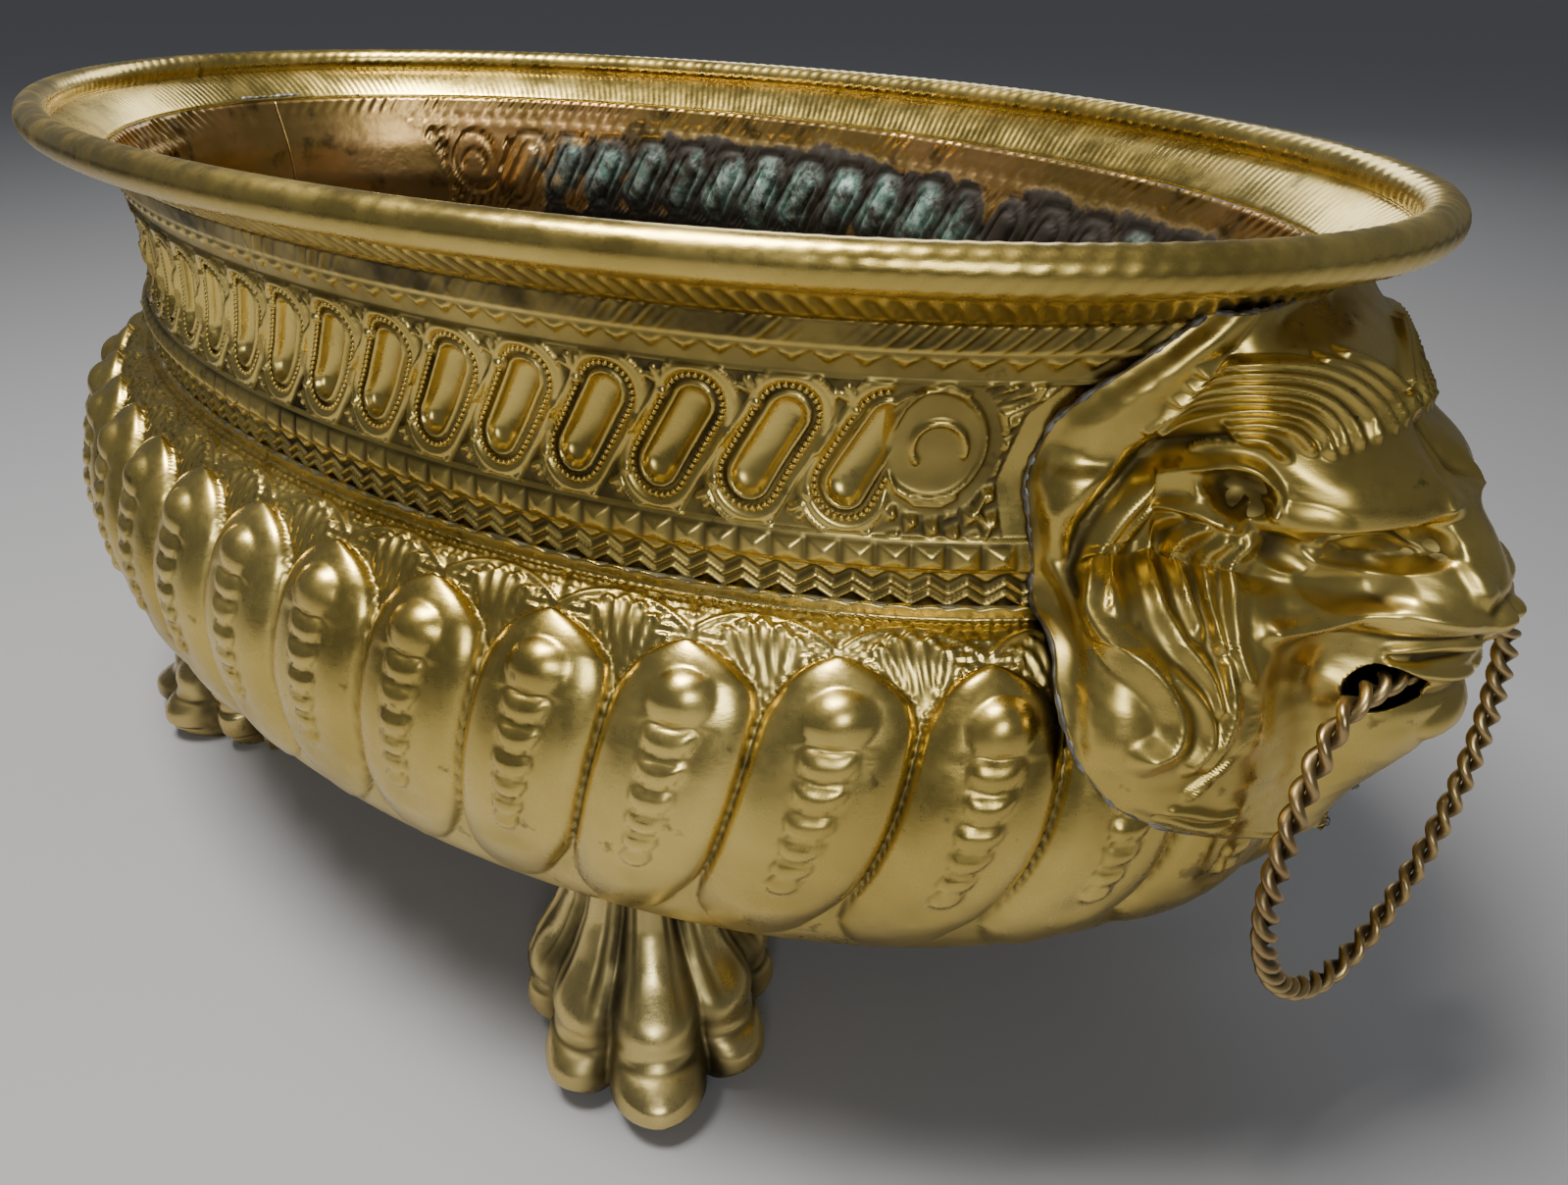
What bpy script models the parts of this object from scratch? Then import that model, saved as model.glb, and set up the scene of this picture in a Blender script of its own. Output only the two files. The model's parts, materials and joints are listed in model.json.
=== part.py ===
"""Oval brass jardiniere: a gadrooned bowl, an embossed neck, a wired rim, two lion masks that
carry twisted bail handles, and four cast paw feet. Metres, +Z up, +X towards one lion,
-Y is the front. The origin is on the floor under the middle of the bowl."""

import math

import bmesh
import bpy
import numpy as np
from mathutils import Vector

# ---- driving dimensions ----
HALF_LENGTH = 0.300          # rim, centre to the middle of the roll, along X
HALF_WIDTH = 0.1805          # the same along Y
RIM_HEIGHT = 0.2834          # floor to the middle of the roll
FIT_GAP = 0.0004             # air between pieces that touch

ROLL_RADIUS = 0.0060         # outside of the rolled rim
RIM_SHEET = 0.0009
FLARE_INSET = 0.0195         # crease where the flare meets the neck, inset from the roll's middle
FLARE_DROP = 0.0165          # roll's middle down to that crease

NECK_SHEET = 0.0009
NECK_DROP_TO_LIP = 0.0925    # roll's middle down to the bowl's lip
NECK_WAIST_INSET = 0.0297    # the narrowest part of the neck
NECK_LAP = 0.0045            # how far the neck reaches down inside the bowl's lip

BOWL_SHEET = 0.0012
LIP_HEIGHT = 0.0040          # upright lip at the bowl's mouth
LIP_INSET = 0.0216
BELLY_OUTSET = 0.0165        # widest part of the bowl, outside the roll's middle
BELLY_HEIGHT = 0.1370
BOTTOM_HEIGHT = 0.0270
BOWL_ROUNDNESS = 2.3         # exponent of the bowl's lower curve, 2 is an ellipse
LOBE_COUNT = 38
LOBE_DEPTH = 0.0075
LOBE_START = 0.018           # plain bottom up to the foot of the lobes
LOBE_STEPS = 2               # facets across one lobe
BOWL_FACET_SAG = HALF_LENGTH / 300.0    # how far a flat facet can stand inside the curved bowl

MASK_SHEET = 0.0012
MASK_SEAT_GAP = 0.0020       # room for the solder under the collar plate
MASK_REACH = 0.0490          # nose tip beyond the roll's middle
MASK_HALF_WIDTH = 0.1000
CHEEK_HOLE_RADIUS = 0.0066

BAIL_STRAND_RADIUS = 0.00150
BAIL_LEAD = 0.0172           # length of one full twist of the two strands
BAIL_DROP = 0.1180
BAIL_BULGE = 0.0660
BAIL_AXIS_HEIGHT = 0.1790
BAIL_AXIS_REACH = 0.0300     # the axis beyond the roll's middle
BAIL_AXIS_SKEW = math.radians(-12.0)  # the loose bail sits askew in its two cheek holes

FOOT_REACH_X = 0.150
FOOT_REACH_Y = 0.125
FOOT_TURN = math.radians(39.0)        # toes point outwards, this far from X
FOOT_LENGTH = 0.094
FOOT_WIDTH = 0.092
ANKLE_WIDTH = 0.050
STUD_RADIUS = 0.0030
WASHER_RADIUS = 0.0080
WASHER_THICKNESS = 0.0012
NUT_ACROSS_FLATS = 0.0100
NUT_HEIGHT = 0.0050

RING_STEPS = 48              # facets round the oval
TAU = 2.0 * math.pi


# ---- scene and materials ----
def clear_scene():
    for old in list(bpy.data.objects):
        bpy.data.objects.remove(old, do_unlink=True)


def metal(name, colour, roughness, metallic=1.0):
    made = bpy.data.materials.new(name)
    made.use_nodes = True
    shader = made.node_tree.nodes["Principled BSDF"]
    shader.inputs["Base Color"].default_value = (*colour, 1.0)
    shader.inputs["Roughness"].default_value = roughness
    shader.inputs["Metallic"].default_value = metallic
    made.diffuse_color = (*colour, 1.0)
    return made


# ---- mesh helpers ----
def add_object(name, points, faces, material, location=(0.0, 0.0, 0.0), hidden=False):
    """One object from points in world metres. The origin goes to location."""
    shift = np.asarray(location, float)
    mesh = bpy.data.meshes.new(name)
    mesh.from_pydata((np.asarray(points, float) - shift).tolist(), [], faces)
    mesh.update()
    work = bmesh.new()
    work.from_mesh(mesh)
    bmesh.ops.recalc_face_normals(work, faces=work.faces)
    work.to_mesh(mesh)
    work.free()
    made = bpy.data.objects.new(name, mesh)
    made.location = location
    if material is not None:
        mesh.materials.append(material)
    mesh.shade_smooth()
    mesh.set_sharp_from_angle(angle=math.radians(40.0))
    made.hide_render = hidden
    if hidden:
        made.display_type = "WIRE"
    bpy.context.scene.collection.objects.link(made)
    return made


def grid_faces(rows, columns, wrap_rows=False, wrap_columns=False, start=0):
    """Quads of a rows x columns grid of points, closed round either way if asked."""
    faces = []
    for i in range(rows if wrap_rows else rows - 1):
        for j in range(columns if wrap_columns else columns - 1):
            a, b = i * columns, ((i + 1) % rows) * columns
            k = (j + 1) % columns
            faces.append((start + a + j, start + a + k, start + b + k, start + b + j))
    return faces


def triangles(quads):
    """Each quad as two triangles, so that a surface and its offset fold along the same lines."""
    return [three for a, b, c, d in quads for three in ((a, b, c), (a, c, d))]


def capped_tube(rings):
    """Points and faces of a tube through equal rings, each end closed by one face."""
    rings = np.asarray(rings, float)
    count, sides = rings.shape[:2]
    faces = grid_faces(count, sides, wrap_columns=True)
    faces.append(tuple(range(sides)))
    faces.append(tuple(range((count - 1) * sides, count * sides))[::-1])
    return rings.reshape(-1, 3), faces


def thicken(sheet, thickness, hollow):
    """Gives an open sheet its wall on its inner side. hollow is a world point inside it."""
    middle = Vector(hollow) - sheet.location
    outward = sum((p.center - middle).dot(p.normal) * p.area for p in sheet.data.polygons)
    if outward < 0.0:
        sheet.data.flip_normals()
    wall = sheet.modifiers.new("wall", "SOLIDIFY")
    wall.thickness = thickness
    wall.offset = -1.0
    wall.use_even_offset = False
    return wall


def cut(target, cutter):
    hole = target.modifiers.new("cut " + cutter.name, "BOOLEAN")
    hole.operation = "DIFFERENCE"
    hole.object = cutter


def cylinder(name, radius, base, top, material, sides=12, hidden=False):
    """A straight round bar from base to top."""
    base, top = Vector(base), Vector(top)
    along = (top - base).normalized()
    side = along.orthogonal().normalized()
    other = along.cross(side)
    rings = []
    for end in (base, top):
        angles = [TAU * k / sides for k in range(sides)]
        rings.append([end + radius * (math.cos(a) * side + math.sin(a) * other) for a in angles])
    points, faces = capped_tube(rings)
    return add_object(name, points, faces, material, location=tuple(base), hidden=hidden)


# ---- the oval plan ----
def oval(angle, inset):
    """Point of the plan at the given inset from the roll's middle line."""
    return (HALF_LENGTH - inset) * np.cos(angle), (HALF_WIDTH - inset) * np.sin(angle)


def belly_angles(count):
    """Plan angles that divide the widest oval into equal lengths, starting at +X."""
    fine = np.linspace(0.0, TAU, 4097)
    x, y = oval(fine, -BELLY_OUTSET)
    length = np.concatenate([[0.0], np.cumsum(np.hypot(np.diff(x), np.diff(y)))])
    return np.interp(np.arange(count) * length[-1] / count, length, fine)


# ---- heights that follow from the driving dimensions ----
CREASE_HEIGHT = RIM_HEIGHT - FLARE_DROP
LIP_TOP = RIM_HEIGHT - NECK_DROP_TO_LIP
SHOULDER_TOP = LIP_TOP - LIP_HEIGHT
NECK_FOOT_INSET = LIP_INSET + BOWL_SHEET + FIT_GAP
NECK_FOOT = LIP_TOP - NECK_LAP
NECK_TOP = CREASE_HEIGHT - RIM_SHEET - FIT_GAP


# ---- bowl ----
def bowl_section(station):
    """Inset, scale and height of the bowl's outside at station 0 (lip) to 1 (near the bottom)."""
    if station < 0.1:
        return LIP_INSET, 1.0, LIP_TOP - (LIP_TOP - SHOULDER_TOP) * station / 0.1
    if station < 0.45:
        share = 1.0 - (station - 0.1) / 0.35
        inset = -BELLY_OUTSET + (LIP_INSET + BELLY_OUTSET) * (1.0 - math.sqrt(1.0 - share**1.7))
        return inset, 1.0, BELLY_HEIGHT + (SHOULDER_TOP - BELLY_HEIGHT) * share
    turn = 0.5 * math.pi * (station - 0.45) / 0.55
    power = 2.0 / BOWL_ROUNDNESS
    scale = max(math.cos(turn), 0.0) ** power
    height = BELLY_HEIGHT - (BELLY_HEIGHT - BOTTOM_HEIGHT) * math.sin(turn) ** power
    return -BELLY_OUTSET, scale, height


def lobe_fade(height):
    """1 where the lobes stand full, 0 at the shoulder's top and on the plain bottom."""
    low, high = BOTTOM_HEIGHT + LOBE_START, SHOULDER_TOP - 0.004
    share = (height - low) / (high - low)
    return math.sin(math.pi * min(max(share, 0.0), 1.0)) ** 0.7


def bowl_ring(station, outset=0.0, lobed=True):
    inset, scale, height = bowl_section(station)
    steps = LOBE_COUNT * LOBE_STEPS
    angles = belly_angles(steps)
    x, y = oval(angles, inset - outset)
    phase = (np.arange(steps) % LOBE_STEPS) / LOBE_STEPS + 0.5  # a crest at +X, a crease at the front
    groove = LOBE_DEPTH * lobe_fade(height) * (np.abs(np.cos(math.pi * phase)) ** 3 if lobed else 0.0)
    x, y = x * scale, y * scale
    size = np.hypot(x, y)
    shrink = 1.0 - groove / size
    return np.stack([x * shrink, y * shrink, np.full(steps, height)], axis=1)


BOWL_STATIONS = (0.0, 0.1, 0.16, 0.24, 0.34, 0.45, 0.56, 0.67, 0.78, 0.88, 0.955)


def make_bowl(brass):
    rings = [bowl_ring(s) for s in BOWL_STATIONS]
    points = np.concatenate(rings + [[[0.0, 0.0, BOTTOM_HEIGHT]]])
    steps = len(rings[0])
    faces = triangles(grid_faces(len(rings), steps, wrap_columns=True))
    last = (len(rings) - 1) * steps
    middle = len(points) - 1
    faces += [(last + j, last + (j + 1) % steps, middle) for j in range(steps)]
    bowl = add_object("gadrooned_bowl", points, faces, brass)
    thicken(bowl, BOWL_SHEET, (0.0, 0.0, LIP_TOP))
    return bowl


def make_bowl_clearance():
    """The space that the bowl takes with its fitting gap, as one solid to cut the feet with."""
    rings = [bowl_ring(s, outset=FIT_GAP) - np.array([0.0, 0.0, FIT_GAP]) for s in BOWL_STATIONS]
    points = np.concatenate(rings + [[[0.0, 0.0, BOTTOM_HEIGHT - FIT_GAP]]])
    steps = len(rings[0])
    faces = triangles(grid_faces(len(rings), steps, wrap_columns=True))
    last = (len(rings) - 1) * steps
    middle = len(points) - 1
    faces += [(last + j, last + (j + 1) % steps, middle) for j in range(steps)]
    faces.append(tuple(range(steps)))
    return add_object("bowl_clearance", points, faces, None, hidden=True)


def bowl_frame(x, y):
    """Point and outward normal on the bowl's plain underside over the given place."""

    def height_at(px, py):
        size = math.hypot(px / (HALF_LENGTH + BELLY_OUTSET), py / (HALF_WIDTH + BELLY_OUTSET))
        rest = (1.0 - size**BOWL_ROUNDNESS) ** (1.0 / BOWL_ROUNDNESS)
        return BELLY_HEIGHT - (BELLY_HEIGHT - BOTTOM_HEIGHT) * rest

    step = 0.002
    slope_x = (height_at(x + step, y) - height_at(x - step, y)) / (2 * step)
    slope_y = (height_at(x, y + step) - height_at(x, y - step)) / (2 * step)
    normal = Vector((slope_x, slope_y, -1.0)).normalized()
    return Vector((x, y, height_at(x, y))), normal


# ---- neck ----
NECK_STATIONS = (
    (0.0, NECK_FOOT_INSET),
    (0.22, NECK_FOOT_INSET + 0.0010),
    (0.48, NECK_WAIST_INSET),
    (0.72, NECK_WAIST_INSET - 0.0012),
    (0.90, FLARE_INSET + 0.0040),
    (1.0, FLARE_INSET + 0.0012),
)


def make_neck(name, side, brass):
    """Half of the neck, one bent strip from lion to lion. side is -1 at the front."""
    half = RING_STEPS // 2
    seam = FIT_GAP / HALF_WIDTH
    angles = side * np.linspace(seam, math.pi - seam, half + 1)
    outer, inner = [], []
    for share, inset in NECK_STATIONS:
        height = NECK_FOOT + (NECK_TOP - NECK_FOOT) * share
        for rows, extra in ((outer, 0.0), (inner, NECK_SHEET)):
            x, y = oval(angles, inset + extra)
            rows.append(np.stack([x, y, np.full(len(angles), height)], axis=1))
    section = np.stack(outer + inner[::-1], axis=1)
    points, faces = capped_tube(section)
    return add_object(name, points, faces, brass)


# ---- rim ----
def rim_section():
    """Closed outline of the flange in (inset, height): the flare, then the roll round its wire."""
    start = math.radians(222.0)
    turns = [start + math.radians(-300.0) * k / 8 for k in range(9)]
    middle = ROLL_RADIUS - 0.5 * RIM_SHEET
    path = [(FLARE_INSET + 0.0006, CREASE_HEIGHT - 0.0002), (FLARE_INSET, CREASE_HEIGHT + 0.0012)]
    path += [(-middle * math.cos(a), RIM_HEIGHT + middle * math.sin(a)) for a in turns]
    path = np.array(path)
    along = np.gradient(path, axis=0)
    along /= np.linalg.norm(along, axis=1)[:, None]
    across = np.stack([along[:, 1], -along[:, 0]], axis=1) * 0.5 * RIM_SHEET
    return np.concatenate([path + across, (path - across)[::-1]])


def sweep_round(name, section, material):
    """Carries a closed (inset, height) outline round the oval."""
    angles = TAU * np.arange(RING_STEPS) / RING_STEPS
    rings = []
    for angle in angles:
        x, y = oval(angle, section[:, 0])
        rings.append(np.stack([x, y, section[:, 1]], axis=1))
    points = np.concatenate(rings)
    faces = grid_faces(RING_STEPS, len(section), wrap_rows=True, wrap_columns=True)
    return add_object(name, points, faces, material)


def make_rim(brass, wire_metal):
    sweep_round("rim_flange", rim_section(), brass)
    radius = ROLL_RADIUS - RIM_SHEET - FIT_GAP - 0.0003
    turns = TAU * np.arange(6) / 6
    outline = np.stack([radius * np.cos(turns), RIM_HEIGHT + radius * np.sin(turns)], axis=1)
    sweep_round("rim_wire", outline, wire_metal)


# ---- lion masks ----
def body_reach(y, z):
    """How far the body's outside reaches along X at the given y and z."""
    if z > LIP_TOP:
        share = (z - NECK_FOOT) / (NECK_TOP - NECK_FOOT)
        places, insets = zip(*NECK_STATIONS)
        inset = float(np.interp(share, places, insets))
    elif z > BELLY_HEIGHT:
        share = min((z - BELLY_HEIGHT) / (SHOULDER_TOP - BELLY_HEIGHT), 1.0)
        inset = -BELLY_OUTSET + (LIP_INSET + BELLY_OUTSET) * (1.0 - math.sqrt(1.0 - share**1.7))
    else:
        inset = -BELLY_OUTSET
    scale = 1.0
    if z < BELLY_HEIGHT:
        drop = (BELLY_HEIGHT - z) / (BELLY_HEIGHT - BOTTOM_HEIGHT)
        scale = (1.0 - drop**BOWL_ROUNDNESS) ** (1.0 / BOWL_ROUNDNESS)
    half_length, half_width = (HALF_LENGTH - inset) * scale, (HALF_WIDTH - inset) * scale
    return half_length * math.sqrt(max(1.0 - (y / half_width) ** 2, 0.0))


def bridged_reach(y, z):
    """The body's reach with the hollow between neck and shoulder bridged by the sheet."""
    return max(body_reach(y, z + step) for step in (-0.012, -0.006, 0.0, 0.006, 0.012))


# share of the mask's reach, half-width share, top and bottom heights as shares of the rim's height
MASK_SECTIONS = (
    (0.22, 0.66, 0.930, 0.400),
    (0.36, 0.44, 0.915, 0.420),
    (0.54, 0.31, 0.880, 0.450),
    (0.80, 0.25, 0.790, 0.515),
    (0.95, 0.20, 0.735, 0.560),
    (1.00, 0.13, 0.705, 0.600),
)
MASK_TOP, MASK_BOTTOM = 0.935, 0.385
MASK_STEPS = 32


def mask_outline(top, bottom, half_width):
    """Rounded outline in (y, z), wider above its middle as a mane is."""
    turns = TAU * np.arange(MASK_STEPS) / MASK_STEPS
    middle, half = 0.5 * (top + bottom), 0.5 * (top - bottom)
    y = half_width * np.sign(np.cos(turns)) * np.abs(np.cos(turns)) ** 0.85
    z = middle + half * np.sign(np.sin(turns)) * np.abs(np.sin(turns)) ** 0.85
    return y, z


def make_mask(name, end, brass):
    """A hollow lion mask with its collar plate. end is +1 or -1 along X."""
    base = HALF_LENGTH - NECK_WAIST_INSET
    rings = []
    y, z = mask_outline(MASK_TOP * RIM_HEIGHT, MASK_BOTTOM * RIM_HEIGHT, MASK_HALF_WIDTH)
    clear = MASK_SHEET + MASK_SEAT_GAP
    edge_x = np.array([bridged_reach(a, b) for a, b in zip(y, z)]) + clear
    rings.append(np.stack([edge_x, y, z], axis=1))
    inner_y, inner_z = 0.88 * y, z + 0.12 * (z.mean() - z)
    inner_x = np.array([bridged_reach(a, b) for a, b in zip(inner_y, inner_z)]) + 1.4 * clear
    rings.append(np.stack([inner_x, inner_y, inner_z], axis=1))
    tip = HALF_LENGTH + MASK_REACH
    for reach, width, top, bottom in MASK_SECTIONS:
        y, z = mask_outline(top * RIM_HEIGHT, bottom * RIM_HEIGHT, width * MASK_HALF_WIDTH)
        x = np.full(len(y), base + (tip - base) * reach)
        floor = np.array([bridged_reach(a, b) for a, b in zip(y, z)]) + 1.6 * clear
        rings.append(np.stack([np.maximum(x, floor), y, z], axis=1))
    points = np.concatenate(rings)
    faces = grid_faces(len(rings), MASK_STEPS, wrap_columns=True)
    faces.append(tuple(range((len(rings) - 1) * MASK_STEPS, len(rings) * MASK_STEPS)))
    points = points * np.array([end, end, 1.0])
    mask = add_object(name, points, faces, brass)
    thicken(mask, MASK_SHEET, (0.0, 0.0, BELLY_HEIGHT))
    for side in (-1.0, 1.0):
        inner, outer = bail_point(end, side * 0.012, 0.0), bail_point(end, side * 0.075, 0.0)
        drill = cylinder(f"{name}_drill_{'near' if side < 0 else 'far'}", CHEEK_HOLE_RADIUS,
                         inner, outer, None, sides=10, hidden=True)
        cut(mask, drill)
    return mask


# ---- bail handles ----
def bail_point(end, along, down):
    """World point of a bail from its place along the hinge axis and its drop below it."""
    x = HALF_LENGTH + BAIL_AXIS_REACH - math.sin(BAIL_AXIS_SKEW) * along
    y = math.cos(BAIL_AXIS_SKEW) * along
    return Vector((end * x, end * y, BAIL_AXIS_HEIGHT - down))


BAIL_END = 0.008             # inner tips of the bail, either side of the mask's middle
BAIL_ELBOW = 0.043           # where the bail turns down outside the cheek


def bail_path(count):
    """Middle line of one bail in (along, down), evenly spaced: in through a cheek, round, and out."""
    turns = np.linspace(-0.5 * math.pi, 0.5 * math.pi, 161)
    down = BAIL_DROP * np.cos(turns) ** 0.9
    wide = BAIL_BULGE + (BAIL_ELBOW - BAIL_BULGE) * (1.0 - down / BAIL_DROP) ** 2
    along = np.sign(turns) * np.abs(np.sin(turns)) ** 1.1 * wide
    inner = np.linspace(BAIL_END, BAIL_ELBOW, 21)[:-1]
    along = np.concatenate([-inner, along, inner[::-1]])
    down = np.concatenate([np.zeros(len(inner)), down, np.zeros(len(inner))])
    for _ in range(24):
        along[1:-1] = 0.25 * along[:-2] + 0.5 * along[1:-1] + 0.25 * along[2:]
        down[1:-1] = 0.25 * down[:-2] + 0.5 * down[1:-1] + 0.25 * down[2:]
    length = np.concatenate([[0.0], np.cumsum(np.hypot(np.diff(along), np.diff(down)))])
    even = np.linspace(0.0, length[-1], count)
    return np.interp(even, length, along), np.interp(even, length, down), length[-1]


def make_bail(prefix, end, metal_used):
    """Two strands wound about each other along the bail's middle line."""
    steps_per_turn, sides = 6, 4
    length = bail_path(400)[2]
    turns = round(length / BAIL_LEAD)
    count = turns * steps_per_turn + 1
    along, down, _ = bail_path(count)
    helix = BAIL_STRAND_RADIUS + 0.5 * FIT_GAP + 0.0002
    hinge = tuple(bail_point(end, 0.0, 0.0))
    tangent = np.stack([np.gradient(along), np.gradient(down)], axis=1)
    tangent /= np.linalg.norm(tangent, axis=1)[:, None]
    for label, phase in (("a", 0.0), ("b", math.pi)):
        rings = []
        for k in range(count):
            twist = TAU * turns * k / (count - 1) + phase
            here = bail_point(end, along[k], down[k])
            ahead = bail_point(end, along[k] + tangent[k, 0], down[k] + tangent[k, 1]) - here
            out = bail_point(end, along[k] - tangent[k, 1], down[k] + tangent[k, 0]) - here
            third = ahead.cross(out)
            centre = here + helix * (math.cos(twist) * out + math.sin(twist) * third)
            ring = []
            for side in range(sides):
                spin = TAU * side / sides + twist
                ring.append(centre + BAIL_STRAND_RADIUS * (math.cos(spin) * out + math.sin(spin) * third))
            rings.append(ring)
        points, faces = capped_tube(rings)
        add_object(f"{prefix}_bail_strand_{label}", points, faces, metal_used, location=hinge)


# ---- feet ----
TOES = 5
PAW_STEPS = 30


def paw_outline(height_share):
    """Plan outline of the paw, toes towards +X of the paw, at a share of its height."""
    turns = TAU * np.arange(PAW_STEPS) / PAW_STEPS
    front = np.clip(np.cos(turns), 0.0, 1.0)
    spread = (1.0 - height_share) ** 1.5
    toes = 1.0 + 0.10 * spread * front**0.3 * np.cos(turns * (2.0 * TOES - 1.0) * 0.93)
    length = ANKLE_WIDTH * 0.46 + (0.5 * FOOT_LENGTH - ANKLE_WIDTH * 0.46) * spread
    width = 0.5 * ANKLE_WIDTH + 0.5 * (FOOT_WIDTH - ANKLE_WIDTH) * spread
    shift = 0.018 * spread
    return np.stack([length * toes * np.cos(turns) + shift, width * toes * np.sin(turns)], axis=1)


PAW_LEVELS = (0.0, 0.10, 0.28, 0.45, 0.62, 0.80, 1.0)
PAW_TOP = 0.088              # tall enough to be trimmed to the bowl's underside
TOE_ROUND = 0.92             # how far the sole draws in under the toes


def make_foot(label, sign_x, sign_y, brass, fixing_metal, bowl, clearance):
    """One cast paw, trimmed to the bowl, with the stud, washer and nut that hold it."""
    heading = Vector((sign_x * math.cos(FOOT_TURN), sign_y * math.sin(FOOT_TURN), 0.0))
    across = Vector((-heading.y, heading.x, 0.0))
    ankle = Vector((sign_x * FOOT_REACH_X, sign_y * FOOT_REACH_Y, 0.0)) - 0.020 * heading
    rings = []
    for level in PAW_LEVELS:
        outline = paw_outline(level) * (TOE_ROUND if level == 0.0 else 1.0)
        base = ankle + Vector((0.0, 0.0, PAW_TOP * level))
        rings.append([base + heading * a + across * b for a, b in outline.tolist()])
    points, faces = capped_tube(rings)
    paw = add_object(f"{label}_paw_foot", points, faces, brass, location=tuple(ankle))
    cut(paw, clearance)
    seat, normal = bowl_frame(ankle.x, ankle.y)
    inside = seat - normal * BOWL_SHEET
    washer_lift = LOBE_DEPTH * lobe_fade(seat.z) + BOWL_FACET_SAG  # it bridges the creases
    washer_base = inside - normal * washer_lift
    washer_top = washer_base - normal * WASHER_THICKNESS
    nut_base = washer_top - normal * FIT_GAP
    nut_top = nut_base - normal * NUT_HEIGHT
    stud_foot = seat + normal * 0.018
    stud_top = nut_top - normal * 0.003
    bore = cylinder(f"{label}_bore", STUD_RADIUS + FIT_GAP, seat + normal * (0.018 + FIT_GAP),
                    stud_top, None, hidden=True)
    cut(paw, bore)
    cut(bowl, bore)
    cylinder(f"{label}_foot_stud", STUD_RADIUS, stud_foot, stud_top, fixing_metal, sides=8)
    washer = cylinder(f"{label}_foot_washer", WASHER_RADIUS, washer_base, washer_top, fixing_metal)
    cut(washer, bore)
    across_corners = NUT_ACROSS_FLATS / math.sqrt(3.0)
    nut = cylinder(f"{label}_foot_nut", across_corners, nut_base, nut_top, fixing_metal, sides=6)
    cut(nut, bore)


# ---- assembly ----
def main():
    clear_scene()
    polished = metal("polished brass", (0.62, 0.46, 0.17), 0.28)
    embossed = metal("embossed brass", (0.55, 0.42, 0.17), 0.38)
    cast = metal("cast brass", (0.58, 0.44, 0.18), 0.34)
    antique = metal("antique brass", (0.42, 0.31, 0.14), 0.38)
    fixing = metal("old brass fixings", (0.40, 0.31, 0.16), 0.5)
    iron = metal("iron wire", (0.20, 0.18, 0.16), 0.6)

    bowl = make_bowl(polished)
    clearance = make_bowl_clearance()
    make_neck("front_neck_strip", -1.0, embossed)
    make_neck("back_neck_strip", 1.0, embossed)
    make_rim(polished, iron)
    for label, end in (("right", 1.0), ("left", -1.0)):
        make_mask(f"{label}_lion_mask", end, polished)
        make_bail(label, end, antique)
    for label, sign_x, sign_y in (
        ("front_right", 1.0, -1.0),
        ("front_left", -1.0, -1.0),
        ("back_right", 1.0, 1.0),
        ("back_left", -1.0, 1.0),
    ):
        make_foot(label, sign_x, sign_y, cast, fixing, bowl, clearance)


main()
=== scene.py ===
# %% [markdown]
# # An oval brass jardiniere, piece by piece
#
# The real pot is sheet brass worked over a block: a bowl raised into 38 lobes (gadroons), a neck
# of two embossed strips, a rim rolled round an iron wire, two hollow lion masks that carry
# twisted bails, and four cast paws. The measured model is loaded first as a fixed frame.
# Every detailed piece below is laid over the plain one that it stands for.

# %% The frame
import json
import math
import bmesh
import bpy
import numpy as np
from mathutils import Matrix, Vector

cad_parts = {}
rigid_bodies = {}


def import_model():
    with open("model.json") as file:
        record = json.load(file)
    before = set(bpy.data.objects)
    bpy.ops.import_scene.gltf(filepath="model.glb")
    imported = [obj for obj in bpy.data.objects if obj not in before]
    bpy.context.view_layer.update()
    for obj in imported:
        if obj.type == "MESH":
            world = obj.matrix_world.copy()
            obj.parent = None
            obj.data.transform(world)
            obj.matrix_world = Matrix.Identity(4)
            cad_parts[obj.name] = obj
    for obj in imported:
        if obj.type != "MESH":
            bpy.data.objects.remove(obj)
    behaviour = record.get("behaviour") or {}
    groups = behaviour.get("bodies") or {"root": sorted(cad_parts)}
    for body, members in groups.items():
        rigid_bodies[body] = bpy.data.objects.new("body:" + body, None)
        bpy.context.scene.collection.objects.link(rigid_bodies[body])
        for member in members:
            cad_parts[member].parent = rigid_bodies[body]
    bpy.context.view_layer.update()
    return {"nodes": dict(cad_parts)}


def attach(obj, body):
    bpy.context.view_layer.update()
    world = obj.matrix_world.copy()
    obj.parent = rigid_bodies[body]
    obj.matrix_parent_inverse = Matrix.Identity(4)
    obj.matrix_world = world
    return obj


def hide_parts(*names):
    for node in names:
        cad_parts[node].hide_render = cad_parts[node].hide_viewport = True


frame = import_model()

# %% [markdown]
# ## Sizes that every piece shares
#
# Lengths are in metres. The plan is an ellipse at every height, so a place on the pot is given by
# how far it sits inside the rim's middle line (its inset), an angle round the plan, and a height.

# %% Shared sizes
HALF_LENGTH, HALF_WIDTH, RIM_HEIGHT = 0.300, 0.1805, 0.2834
SHEET = 0.0012
LIP_TOP, SHOULDER_TOP, BELLY_HEIGHT, BOTTOM_HEIGHT = 0.1909, 0.1869, 0.137, 0.027
LIP_INSET, BELLY_OUTSET, ROUNDNESS = 0.0216, 0.0165, 2.3
LOBES, LOBE_DEPTH = 38, 0.0075
TAU = 2.0 * math.pi


def oval(angle, inset):
    """Plan point of the ellipse that lies `inset` inside the rim's middle line."""
    return (HALF_LENGTH - inset) * np.cos(angle), (HALF_WIDTH - inset) * np.sin(angle)


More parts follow.
